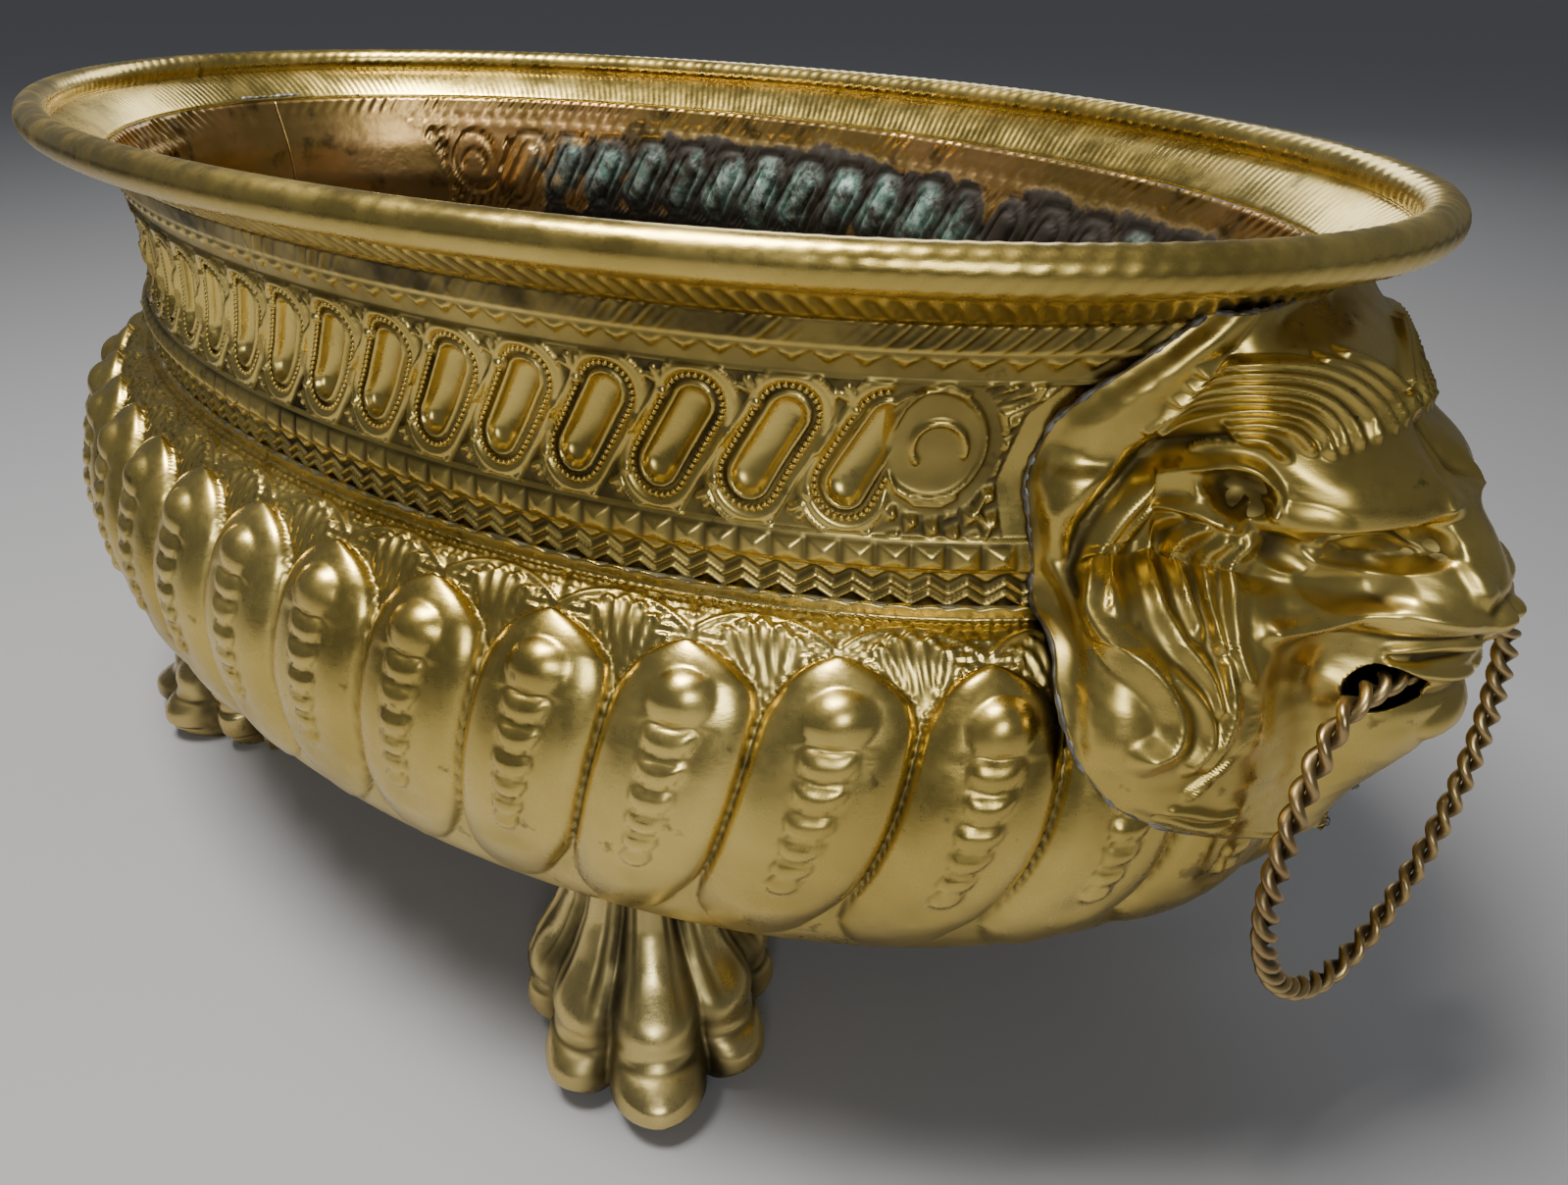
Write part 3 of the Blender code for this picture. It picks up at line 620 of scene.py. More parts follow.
def neck_inset(height):
    """The neck's waisted section, eased between its stations."""
    shares, insets = np.array(NECK_STATIONS).T
    fine = np.linspace(-0.2, 1.2, 281)
    rough = np.interp(fine, shares, insets)
    rough[fine > 1.0] = insets[-1] + (fine[fine > 1.0] - 1.0) * -0.02
    eased = np.convolve(np.pad(rough, 20, mode="edge"), np.hanning(41) / np.hanning(41).sum(), "valid")
    return np.interp((height - NECK_FOOT) / (NECK_TOP - NECK_FOOT), fine, eased)


def teeth(place, pitch):
    """0 to 1 and back along a line, once per pitch, with straight flanks."""
    return 1.0 - 2.0 * np.abs((place / pitch) % 1.0 - 0.5)


def oval_distances(along, height, shift):
    """Distance to the nearest oval's middle line, the place down that line, and the oval's
    number. shift 1 or -1 gives the oval next to it on that side."""
    level = along - FIRST_OVAL + math.tan(OVAL_LEAN) * (height - FRIEZE_HEIGHT)
    number = np.clip(np.round(level / OVAL_PITCH) + shift, 0, OVALS - 1)
    side = along - FIRST_OVAL - number * OVAL_PITCH
    rise = height - FRIEZE_HEIGHT
    down = math.sin(OVAL_LEAN) * side - math.cos(OVAL_LEAN) * rise
    across = math.cos(OVAL_LEAN) * side + math.sin(OVAL_LEAN) * rise
    return np.hypot(down - np.clip(down, -OVAL_HALF, OVAL_HALF), across), down, number


def spot(along, height, place, level, size):
    """A round boss of this radius."""
    return np.sqrt(np.clip(1.0 - ((along - place) ** 2 + (height - level) ** 2) / size**2, 0.0, 1.0))


def line_distance(along, height, points):
    """Distance to the nearest of the straight pieces between the points."""
    nearest = np.full(along.shape, 1.0)
    for (a0, z0), (a1, z1) in zip(points[:-1], points[1:]):
        da, dz = a1 - a0, z1 - z0
        share = np.clip(((along - a0) * da + (height - z0) * dz) / (da * da + dz * dz), 0.0, 1.0)
        nearest = np.minimum(nearest, np.hypot(along - a0 - share * da, height - z0 - share * dz))
    return nearest


def raise_to(relief, raised):
    """The higher of the two where there is a raised mark, and the relief untouched elsewhere."""
    return np.where(raised > 1e-5, np.maximum(relief, raised), relief)


def stroke(along, height, points, width):
    """A rounded raised line of this width through the points: 1 along it."""
    return hump(line_distance(along, height, points), width)


print("half way round the frieze:", round(HALF_GIRTH, 4), "m")

# %% [markdown]
# ### The frieze of ovals
#
# From the middle of an oval outwards come a sunk pool, a raised line, a smooth band and a cord,
# each a bell at its own distance. Bars, bosses and small leaves fill the gaps to the next oval,
# and a disc with a curl ends the row beside each lion.

# %% The frieze
POOL, POOL_DEPTH, OVAL_LINE, OVAL_BAND, OVAL_CORD = 0.0046, 0.0017, 0.0053, 0.0101, 0.0128
OVAL_REACH = 0.0135
SPRIGS = ((0.0035, 0.2418, 1.0), (0.0150, 0.2190, -1.0))    # place in the gap, height, up or down
LEAF_TURNS, LEAF_LONG = (-0.9, -0.25, 0.45, 1.0), 0.0052
DISC_PLACE, DISC_LEVEL, DISC_RADIUS, CURL_RADIUS = 0.1060, 0.2342, 0.0140, 0.0068
CURL_TAIL = ((0.0980, 0.2478), (0.1035, 0.2502), (0.1090, 0.2488), (0.1135, 0.2440), (0.1168, 0.2360),
             (0.1180, 0.2290), (0.1150, 0.2215), (0.1090, 0.2180), (0.1030, 0.2180), (0.0990, 0.2200))


def frieze_relief(along, height):
    """The band of leaning ovals, with the bars, bosses and leaves between them."""
    near, down, number = oval_distances(along, height, 0)
    left, right = (oval_distances(along, height, shift)[0] for shift in (-1, 1))
    left, right = np.where(number == 0, 1.0, left), np.where(number == OVALS - 1, 1.0, right)
    other = np.minimum(left, right)
    last = FIRST_OVAL + (OVALS - 1) * OVAL_PITCH
    relief = -POOL_DEPTH * np.clip(1.0 - (near / POOL) ** 2, 0.0, 1.0) ** 0.6
    relief = relief + 0.0010 * hump(near - OVAL_LINE, 0.0013)
    relief = relief - 0.0003 * hump(near - 0.0078, 0.0022)
    relief = relief + 0.0011 * hump(near - OVAL_BAND, 0.0040)
    relief = relief + 0.0012 * hump(near - OVAL_CORD, 0.0011) * smooth_step(0.0008, 0.0020, other - near)
    bar = smooth_step(0.0096, 0.0076, np.abs(down + 0.0012)) * hump(other - near, 0.0026)
    relief = relief + 0.0016 * bar * (other < 0.5)
    gap = along - FIRST_OVAL - np.floor((along - FIRST_OVAL) / OVAL_PITCH) * OVAL_PITCH
    within = (along > FIRST_OVAL - 0.004) & (along < last + 0.004)
    for place, level, way in SPRIGS:
        relief = raise_to(relief, 0.0016 * spot(gap, height, place, level, 0.0017) * within)
        for turn in LEAF_TURNS:
            tip = (place + LEAF_LONG * math.sin(turn), level + way * (0.0016 + LEAF_LONG * math.cos(turn)))
            leaf = stroke(gap, height, ((place, level + way * 0.0022), tip), 0.0020)
            relief = raise_to(relief, 0.0011 * leaf * within * (near > 0.0122))
    ends = (along < FIRST_OVAL - 0.010) | (along > last + 0.010)
    relief = np.where(ends & (near > OVAL_REACH), 0.0, relief)
    # `hollow` here is grime and painted shade: dark on the sunk ground and round the pools, light on raised
    # lines
    hollow = np.clip(1.0 - (relief + 0.0004) / 0.0012, 0.0, 1.0) * (near < OVAL_REACH + 0.0030)
    hollow = np.maximum(hollow * (near > 0.0045), 0.15 * smooth_step(0.0050, 0.0044, near))
    hollow = np.maximum(hollow, 0.85 * smooth_step(0.0122, 0.0140, near) * (relief < 0.0003))
    return relief, hollow


def scroll_relief(along, height):
    """The plain disc with a curl that ends the frieze beside each lion."""
    disc = np.hypot(along - DISC_PLACE, (height - DISC_LEVEL) * 0.95)
    relief = 0.0010 * hump(disc - DISC_RADIUS, 0.0014) + 0.0004 * (disc < DISC_RADIUS)
    bend = np.radians(np.linspace(-35.0, 195.0, 24))
    arc = zip(0.1040 + CURL_RADIUS * np.cos(bend), 0.2330 + CURL_RADIUS * np.sin(bend))
    curl = stroke(along, height, list(arc), 0.0017)
    tail = stroke(along, height, CURL_TAIL, 0.0014)
    relief = relief + 0.0011 * curl * (disc < 0.0138) + 0.0011 * tail
    shade = 0.45 * (disc < DISC_RADIUS) * (1.0 - curl)
    shade = shade + 0.5 * smooth_step(0.0142, 0.0150, disc) * (1.0 - tail)
    return relief * (disc < 0.0185), shade * (disc < 0.0185)


# %% [markdown]
# ### The bands above and below the frieze
#
# Upwards from the bowl come a zigzag, small pyramids, the frieze, a row of triangles and slanting
# flutes. Each band is one function that adds its height and its hollowness, grime and painted shade
# together, to what is there.

# %% The bands
ZIGZAG_TOP, ZIGZAG_PITCH, ZIGZAG_LINES = 0.2002, 0.0100, (0.1926, 0.1957)
BAND_PITCH, PYRAMID_MIDDLE, PYRAMID_HALF = 0.0092, 0.2048, 0.0036
FRIEZE_LOW, FRIEZE_TOP, TRIANGLE_LOW, TRIANGLE_TOP = 0.2095, 0.2508, 0.2500, 0.2585
TRIANGLE_TIPS, FLUTE_PITCH, FLUTE_RISE = 0.2572, 0.0060, 0.0014
FRIEZE_END, FACET_PITCH, FACET_ROW = 0.1215, 0.0070, 0.0052


def frieze_ends(relief, hollow, mirrored, past, height):
    """Stops the frieze at the disc, with rows of facets and a ribbon beside the collar."""
    # scroll_relief's second value, called curl here, is the disc's painted shade and grime
    disc, curl = scroll_relief(mirrored, height)
    is_end = mirrored < FRIEZE_END
    facets = smooth_step(0.0050, 0.0058, past) * is_end * (disc + curl < 1e-5)
    run = height * 1.05 + 0.35 * past
    rows = (past - 0.0056) / FACET_ROW
    lattice = np.minimum(teeth(run + 0.5 * FACET_PITCH * (np.floor(rows) % 2.0), FACET_PITCH),
                         teeth(rows * FACET_ROW, FACET_ROW))
    facet = facets * (0.0026 * np.clip(lattice - 0.15, 0.0, 0.7) - 0.0003)
    ribbon = hump(past - 0.0108 - 0.0014 * (2.0 * teeth(height, 0.0085) - 1.0), 0.0022) * facets
    facet = np.maximum(facet, 0.0016 * ribbon)
    plain_end = np.where(disc + 0.9 * curl > 1e-5, disc, facet)
    shade = np.maximum(curl, 0.85 * facets * (1.0 - np.maximum(1.4 * lattice, ribbon)))
    keep = smooth_step(0.1150, 0.1180, mirrored)
    relief = np.where(is_end, relief * keep + plain_end * (1.0 - keep), relief)
    return relief, np.where(is_end, hollow * keep + shade * (1.0 - keep), hollow)


def triangles(relief, hollow, mirrored, height, strip_on):
    """A row of small triangles, points down, between two cords."""
    above = (height > TRIANGLE_LOW) * (height < TRIANGLE_TOP)
    down_tooth = teeth(mirrored, BAND_PITCH) - (TRIANGLE_TIPS - height) / 0.0034
    tooth = np.clip(down_tooth / 0.5, 0.0, 1.0) * smooth_step(0.2532, 0.2540, height)
    tooth = tooth * smooth_step(TRIANGLE_TIPS + 0.0005, TRIANGLE_TIPS, height)
    relief = relief + strip_on * above * (0.0013 * tooth - 0.0004)
    relief = relief + 0.0009 * hump(height - 0.2580, 0.0011) + 0.0009 * hump(height - 0.2506, 0.0011)
    # grime and painted shade between the triangles
    return relief, np.maximum(hollow, above * 0.45 * (1.0 - tooth))


def flutes(relief, hollow, along, height):
    """Slanting hammered flutes that run up into the rim, uneven from one to the next."""
    flute_on = smooth_step(0.2588, 0.2605, height)
    slant = TAU * (along + 0.9 * (height - 0.262)) / FLUTE_PITCH
    flute = 0.5 + 0.5 * np.cos(slant + 1.3 * np.sin(along * 61.0))
    flute = flute * (0.65 + 0.35 * np.sin(along * 97.0 + 3.0 * np.sin(along * 41.0)))
    relief = relief + flute_on * FLUTE_RISE * flute**1.5
    # painted shade: the whole flute band under the rim is darkened, most in the grooves
    return relief, np.maximum(hollow, flute_on * (0.45 + 0.55 * (1.0 - flute)))


def pyramids(relief, hollow, mirrored, height, strip_on):
    """A raised band with a row of small pyramids."""
    band = smooth_step(ZIGZAG_TOP, 0.2008, height) * smooth_step(0.2098, 0.2090, height)
    slope = np.clip(1.0 - np.abs(height - PYRAMID_MIDDLE) / PYRAMID_HALF, 0.0, 1.0)
    peak = np.minimum(1.1 * teeth(mirrored, BAND_PITCH), 1.3 * slope)
    inside = band * strip_on * (np.abs(height - PYRAMID_MIDDLE) < PYRAMID_HALF)
    relief = relief + 0.0011 * band + 0.0022 * np.clip(peak, 0.0, 1.0) ** 0.8 * inside
    # grime and painted shade between the pyramids
    return relief, np.maximum(hollow, 0.75 * np.clip(1.0 - 1.6 * peak, 0.0, 1.0) * inside)


def zigzags(relief, hollow, mirrored, height):
    """Two raised zigzag lines under a row of half-diamonds."""
    low = smooth_step(ZIGZAG_TOP, 0.1996, height)
    zig = 0.0016 * (2.0 * teeth(mirrored, ZIGZAG_PITCH) - 1.0)
    ridges = np.maximum(*(hump(height - line - zig, 0.0017) for line in ZIGZAG_LINES))
    cap = teeth(mirrored + 0.5 * ZIGZAG_PITCH, ZIGZAG_PITCH) - (0.2000 - height) / 0.0030
    cap = np.clip(cap / 0.3, 0.0, 1.0) * (height > 0.1974)
    relief = relief + low * (-0.0012 + 0.0020 * ridges + 0.0014 * cap)
    # grime and painted shade on the sunk ground round the zigzags
    return relief, np.maximum(hollow, low * (0.7 - 0.7 * np.maximum(ridges, cap)))


def neck_relief(along, height):
    """Height and hollowness, grime and painted shade together, over the whole strip, measured from
    its +X end. `past` is the distance from the collar's edge, and the small patterns fade out against it."""
    mirrored = np.minimum(along, HALF_GIRTH - along)
    past = mirrored - np.interp(height, *np.array(COLLAR_SEAM).T)
    strip_on = smooth_step(0.000, 0.006, past)
    in_frieze = smooth_step(FRIEZE_LOW, 0.2101, height) * smooth_step(FRIEZE_TOP, 0.2500, height)
    relief, hollow = frieze_ends(*frieze_relief(along, height), mirrored, past, height)
    relief, hollow = 1.5 * relief * in_frieze, hollow * in_frieze
    relief, hollow = triangles(relief, hollow, mirrored, height, strip_on)
    relief, hollow = flutes(relief, hollow, along, height)
    relief, hollow = pyramids(relief, hollow, mirrored, height, strip_on)
    relief, hollow = zigzags(relief, hollow, mirrored, height)
    return relief, np.clip(hollow, 0.0, 1.0)


# %% The neck strips
NECK_COLUMNS, NECK_INNER_ROWS, LEAN_EASE = 520, 44, 0.08


def neck_skin(along, height, lift, side):
    """Points of the strip at these lengths and heights, lifted outwards from its plain section.
    Lengths are walked along the ellipse at the frieze."""
    x, y = oval(angles_at(along, FRIEZE_INSET), neck_inset(height) - lift)
    return np.stack([x, side * y, height + 0.0 * x], axis=-1)


def leaning(even, at):
    """Grid of lengths and heights whose columns lean with the ovals, and stand up at the ends."""
    ease = smooth_step(0.0, LEAN_EASE, even) * smooth_step(HALF_GIRTH, HALF_GIRTH - LEAN_EASE, even)
    lean = math.tan(OVAL_LEAN) * (FRIEZE_HEIGHT - at)[:, None]
    return even[None, :] + lean * ease[None, :], np.broadcast_to(at[:, None], (len(at), len(even)))


def neck_strip(name, node, side, first, last):
    """Part of a strip between two lengths, with its relief outside and its softer reverse inside."""
    even = np.linspace(first, last, NECK_COLUMNS)
    heights = np.concatenate([np.arange(NECK_FOOT, 0.1905, 0.0012), np.arange(0.1905, 0.2000, 0.00062),
                              np.arange(0.2000, 0.2100, 0.0006), np.arange(0.2100, 0.2506, 0.00068),
                              np.arange(0.2506, 0.2586, 0.0007),
                              np.arange(0.2588, NECK_TOP + 0.0001, 0.0012)])
    along, height = leaning(even, heights)
    relief, hollow = neck_relief(along, height)
    in_along, in_height = leaning(even, np.linspace(NECK_FOOT, NECK_TOP, NECK_INNER_ROWS))
    reverse, _ = neck_relief(in_along, in_height)
    near = oval_distances(in_along, in_height, 0)[0]
    outer = neck_skin(along, height, relief, side)
    inner = neck_skin(in_along, in_height, 0.8 * reverse - NECK_SHEET - 0.0010, side)
    # water stood in the middle of the pot: green in the ovals there, black below
    wet = smooth_step(0.05, 0.13, in_along) * smooth_step(0.60, 0.45, in_along)
    in_oval = 0.62 + 0.2 * smooth_step(0.0125, 0.0060, near)
    tarnish = 0.12 + wet * in_oval * smooth_step(0.262, 0.250, in_height)
    tarnish = tarnish + 0.5 * smooth_step(0.215, 0.202, in_height)
    green = wet * smooth_step(0.0125, 0.0040, near) * smooth_step(0.2550, 0.2440, in_height)
    made = strip(name, np.concatenate([outer, inner[::-1]]), skin_fields(hollow, tarnish, green))
    two_sided(made, inside_brass, embossed_brass, (node,))


# %% The rows of beads
BEADS, BEAD_OUTLINE, BEAD_RADIUS, BEAD_END = 50, 0.0080, 0.00100, 0.1165
DOME_SIDES = 6


def domes(name, places, outwards, size, finish):
    """Many low six-sided domes at once: one small dome repeated by adding its points to each place."""
    turn = TAU * np.arange(DOME_SIDES) / DOME_SIDES
    ring_low = np.stack([np.cos(turn), np.sin(turn), 0.0 * turn - 0.3], axis=1)
    ring_high = np.stack([0.72 * np.cos(turn + 0.5), 0.72 * np.sin(turn + 0.5), 0.0 * turn + 0.62], axis=1)
    unit = np.concatenate([ring_low, ring_high, [[0.0, 0.0, 0.92]]])
    third = outwards / np.linalg.norm(outwards, axis=1, keepdims=True)
    first = np.cross(np.array([0.0, 0.0, 1.0]), third)
    first /= np.linalg.norm(first, axis=1, keepdims=True)
    frames = np.stack([first, np.cross(third, first), third], axis=1)
    points = places[:, None, :] + size * np.einsum("pk,nkc->npc", unit, frames)
    faces = []
    for j in range(DOME_SIDES):
        k, up = (j + 1) % DOME_SIDES, DOME_SIDES
        faces += [(j, k, up + j), (k, up + k, up + j), (up + j, up + k, 2 * up)]
    faces += [(0, j + 1, j) for j in range(1, DOME_SIDES - 1)]
    offsets = len(unit) * np.arange(len(places))[:, None, None]
    every = (np.array(faces)[None] + offsets).reshape(-1, 3)
    made = mesh_piece(name, points, every, (), {"hollow": np.zeros(len(unit) * len(places))})
    finish_piece(made, finish)


def capsule_outline(count, radius, half):
    """Places (down, across) evenly spaced round a capsule: down one side, round, and back."""
    straight, bend = 2.0 * half, math.pi * radius
    walk = np.arange(count) * (2.0 * straight + 2.0 * bend) / count
    low, high = (walk - straight) / radius, (walk - 2.0 * straight - bend) / radius
    parts = [walk < straight, walk < straight + bend, walk < 2.0 * straight + bend]
    down = np.select(parts, [walk - half, half + radius * np.sin(low), half - (walk - straight - bend)],
                     -half - radius * np.sin(high))
    across = np.select(parts, [np.full(count, radius), radius * np.cos(low), np.full(count, -radius)],
                       -radius * np.cos(high))
    return down, across


def bead_rows(name, side):
    """Beads round every oval, evenly spaced along a capsule outline."""
    down, across = capsule_outline(BEADS, BEAD_OUTLINE, OVAL_HALF)
    along = math.sin(OVAL_LEAN) * down + math.cos(OVAL_LEAN) * across
    height = FRIEZE_HEIGHT - math.cos(OVAL_LEAN) * down + math.sin(OVAL_LEAN) * across
    every = (FIRST_OVAL + OVAL_PITCH * np.arange(OVALS))[:, None] + along[None, :]
    heights = np.broadcast_to(height[None, :], every.shape)
    kept = np.minimum(every, HALF_GIRTH - every) > BEAD_END
    every, heights = every[kept], heights[kept]
    places = neck_skin(every, heights, 0.0 * every, side)
    ahead = neck_skin(every, heights, 0.0 * every + 0.001, side)
    outwards = ahead - places
    domes(name, places + 0.5 * outwards, outwards, BEAD_RADIUS, polished_brass)


for label, side in (("front", -1.0), ("back", 1.0)):
    for half, first, last in (("right", 0.0002, 0.5 * HALF_GIRTH),
                              ("left", 0.5 * HALF_GIRTH, HALF_GIRTH - 0.0002)):
        neck_strip(f"{label}_neck_{half}_half", f"{label}_neck_strip", side, first, last)
    bead_rows(f"{label}_neck_beads", side)

# %% [markdown]
# ## The rim
#
# The flange is drawn out to a flare and rolled round an iron wire. A hammer has left slanted
# ridges on the roll, strong towards the lions and rubbed smooth along the front, so the ridge's
# height follows the place round the oval. A profile carried round the ellipse suits a rolled
# edge better than a curve with a bevel, because the ridges can then follow the roll.

# %% The rolled rim
ROLL_RADIUS, RIM_SHEET, FLARE_INSET = 0.0060, 0.0009, 0.0195
RIM_COLUMNS, FLARE_ROWS, ROLL_ROWS = 1680, 18, 26
RIDGE_PITCH, RIDGE_RISE, FINE_PITCH, FINE_RISE = 0.0062, 0.00042, 0.0036, 0.00022


def rim_section():
    """Middle line of the sheet in (inset, height): foot, flare and roll, and the roll's turns."""
    middle = ROLL_RADIUS - 0.5 * RIM_SHEET
    turns = np.radians(222.0 - 300.0 * np.linspace(0.0, 1.0, ROLL_ROWS))
    foot = np.array([[FLARE_INSET + 0.0008, CREASE_HEIGHT - 0.0004],
                     [FLARE_INSET + 0.0001, CREASE_HEIGHT + 0.0008]])
    roll = np.stack([-middle * np.cos(turns), RIM_HEIGHT + middle * np.sin(turns)], axis=1)
    share = np.linspace(0.0, 1.0, FLARE_ROWS)[1:-1]
    bulge = np.stack([0.0 * share, 0.0012 * np.sin(math.pi * share)], axis=1)
    flare = foot[1] + (roll[0] - foot[1]) * share[:, None] + bulge
    return np.concatenate([foot, flare, roll]), turns


def rim_skin():
    """Closed section in (inset, height), carried round the ellipse, with slanted ridges added
    along the section's normal."""
    path, turns = rim_section()
    step = np.gradient(path, axis=0)
    step /= np.linalg.norm(step, axis=1, keepdims=True)
    across = np.stack([step[:, 1], -step[:, 0]], axis=1)
    around = girth(0.0) * np.arange(RIM_COLUMNS) / RIM_COLUMNS
    angle = angles_at(around, 0.0)
    row = np.arange(len(path)).astype(float)
    is_roll = smooth_step(FLARE_ROWS - 1.0, FLARE_ROWS + 2.0, row)
    wind = np.concatenate([np.zeros(FLARE_ROWS), turns[0] - turns])
    quiet = 0.10 + 0.62 * np.maximum(np.abs(np.cos(angle)) ** 4, smooth_step(-0.2, 0.9, np.sin(angle)))
    quiet = quiet * (0.75 + 0.25 * np.sin(around * 23.0 + 2.0 * np.sin(around * 9.0)))
    phase = TAU * (around[None, :] / RIDGE_PITCH + 0.55 * wind[:, None])
    ridge = (0.5 + 0.5 * np.sin(phase + 0.8 * np.sin(around * 37.0)[None, :])) ** 1.5
    fine = FINE_RISE * np.sin(TAU * (around[None, :] + 0.4 * path[:, :1]) / FINE_PITCH)
    fine = fine * (1.0 - is_roll[:, None])
    lift = RIDGE_RISE * (ridge - 0.4) * quiet[None, :] * is_roll[:, None]
    lift = lift + fine * (row > 1)[:, None] * quiet[None, :]
    # under the flare, the neck's flutes run on upwards
    flute_on = (smooth_step(0.4, 2.0, row) * smooth_step(8.5, 6.5, row))[:, None]
    slant = TAU * (around[None, :] - 0.9 * path[:, :1]) / FLUTE_PITCH
    flute = 0.5 + 0.5 * np.cos(slant + 1.3 * np.sin(around * 61.0)[None, :])
    skins = []
    for way, raised in ((1.0, lift), (-1.0, lift - 0.0009 * flute**1.5 * flute_on)):
        at = path[:, None, :] + across[:, None, :] * (way * 0.5 * RIM_SHEET + raised[..., None])
        x, y = oval(angle[None, :], at[..., 0])
        skins.append(np.stack([x, y, at[..., 1]], axis=-1))
    # grime and painted shade between the hammer ridges on the roll
    hollow = np.clip(0.9 - 1.6 * ridge, 0.0, 1.0) * quiet[None, :] * is_roll[:, None] * 0.7
    # painted shade under the flare: the rim's underside is darkened, most in the flute grooves
    below = np.maximum(hollow, flute_on * (0.35 + 0.6 * (1.0 - flute)))
    return np.concatenate([skins[0], skins[1][::-1]]), np.concatenate([hollow, below[::-1]])


skin, hollow = rim_skin()
rim = ring("rolled_rim", skin, {"hollow": hollow})
finish_piece(rim, polished_brass, stands_for=("rim_flange",))

# %% [markdown]
# ## The lion masks
#
# Each mask is one sheet worked up over a pitch block: a collar plate that lies on the pot, a head
# that grows out of it, and the hair, brow, eye, muzzle and cheek chased from the front. The base
# is a family of level sections, superellipses (|a|^n + |b|^n = 1) from the profile back to the
# collar. Flat coordinates (length round a section, height) then carry every chased stroke.
#
# A head like this is often sculpted by hand. Sections and strokes are used here because each
# can be moved by itself, and because the same form then serves both ends of the pot.

# %% The mask's base form, as (height, value) tables
MASK_PROFILE = (    # x of the middle line
    (0.2690, 0.2808), (0.2665, 0.2825), (0.2640, 0.2860), (0.2600, 0.2930), (0.2560, 0.2985),
    (0.2468, 0.3050), (0.2380, 0.3115), (0.2317, 0.3170), (0.2226, 0.3255), (0.2100, 0.3350),
    (0.2010, 0.3400), (0.1950, 0.3405), (0.1880, 0.3395), (0.1762, 0.3375), (0.1636, 0.3380),
    (0.1560, 0.3350), (0.1480, 0.3300), (0.1419, 0.3255), (0.1340, 0.3210), (0.1240, 0.3175))
MASK_SEAM = (    # plan angle of the collar's edge
    (0.2690, 0.290), (0.2660, 0.310), (0.2500, 0.415), (0.2420, 0.455), (0.2240, 0.485),
    (0.2020, 0.472), (0.1900, 0.478), (0.1820, 0.495), (0.1750, 0.496), (0.1650, 0.485),
    (0.1530, 0.445), (0.1450, 0.385), (0.1380, 0.310), (0.1310, 0.210), (0.1240, 0.060))
MASK_FOOT = (    # share of that angle where the head leaves the plate
    (0.2690, 0.80), (0.2500, 0.72), (0.2300, 0.66), (0.2000, 0.66), (0.1800, 0.68),
    (0.1600, 0.72), (0.1400, 0.80), (0.1240, 0.85))
MASK_ROUND = (    # power n of the superellipse
    (0.2690, 2.0), (0.2500, 2.1), (0.2320, 2.3), (0.2220, 2.0), (0.1960, 1.75), (0.1760, 1.68),
    (0.1600, 1.75), (0.1400, 1.9), (0.1240, 2.0))
MUZZLE_WIDE = (    # half width of the blunt muzzle
    (0.2690, 0.030), (0.2226, 0.020), (0.2100, 0.025), (0.1960, 0.0325), (0.1790, 0.0365),
    (0.1640, 0.0355), (0.1500, 0.0350), (0.1400, 0.0360), (0.1240, 0.0380))
MUZZLE_STEP = (    # how far the cheeks stand back from it
    (0.2690, 0.0), (0.2300, 0.0), (0.2226, 0.003), (0.2100, 0.013), (0.1960, 0.020), (0.1790, 0.0235),
    (0.1640, 0.0230), (0.1500, 0.0170), (0.1400, 0.0090), (0.1300, 0.002), (0.1240, 0.0))
MASK_ROWS, MASK_COLUMNS, MASK_STANDOFF, INNER_STEP = 301, 253, 0.0030, 6
MUZZLE_POWER, EDGE_BRIDGE, HEAD_BRIDGE = 2.3, 0.006, 0.018


def along_height(table, height):
    """Eased value of a (height, value) table at these heights."""
    places, values = np.array(table)[::-1].T
    fine = np.linspace(places[0] - 0.012, places[-1] + 0.012, 721)
    rough = np.interp(fine, places, values)
    window = np.hanning(25) / np.hanning(25).sum()
    return np.interp(height, fine, np.convolve(np.pad(rough, 12, mode="edge"), window, "valid"))


def body_inset(height, bridge):
    """Inset of the pot itself, with hollows up to `bridge` either side bridged over."""
    height = np.asarray(height, float)
    insets = []
    for step in np.linspace(-bridge, bridge, 11):
        z = height + step
        bowl = shoulder_inset(np.clip((z - BELLY_HEIGHT) / (SHOULDER_TOP - BELLY_HEIGHT), 0.0, 1.0))
        drop = np.clip((BELLY_HEIGHT - z) / (BELLY_HEIGHT - BOTTOM_HEIGHT), 0.0, 0.999)
        bowl = HALF_LENGTH - (HALF_LENGTH - bowl) * (1.0 - drop**ROUNDNESS) ** (1.0 / ROUNDNESS)
        insets.append(np.where(z > LIP_TOP, neck_inset(z), bowl))
    return np.min(insets, axis=0)


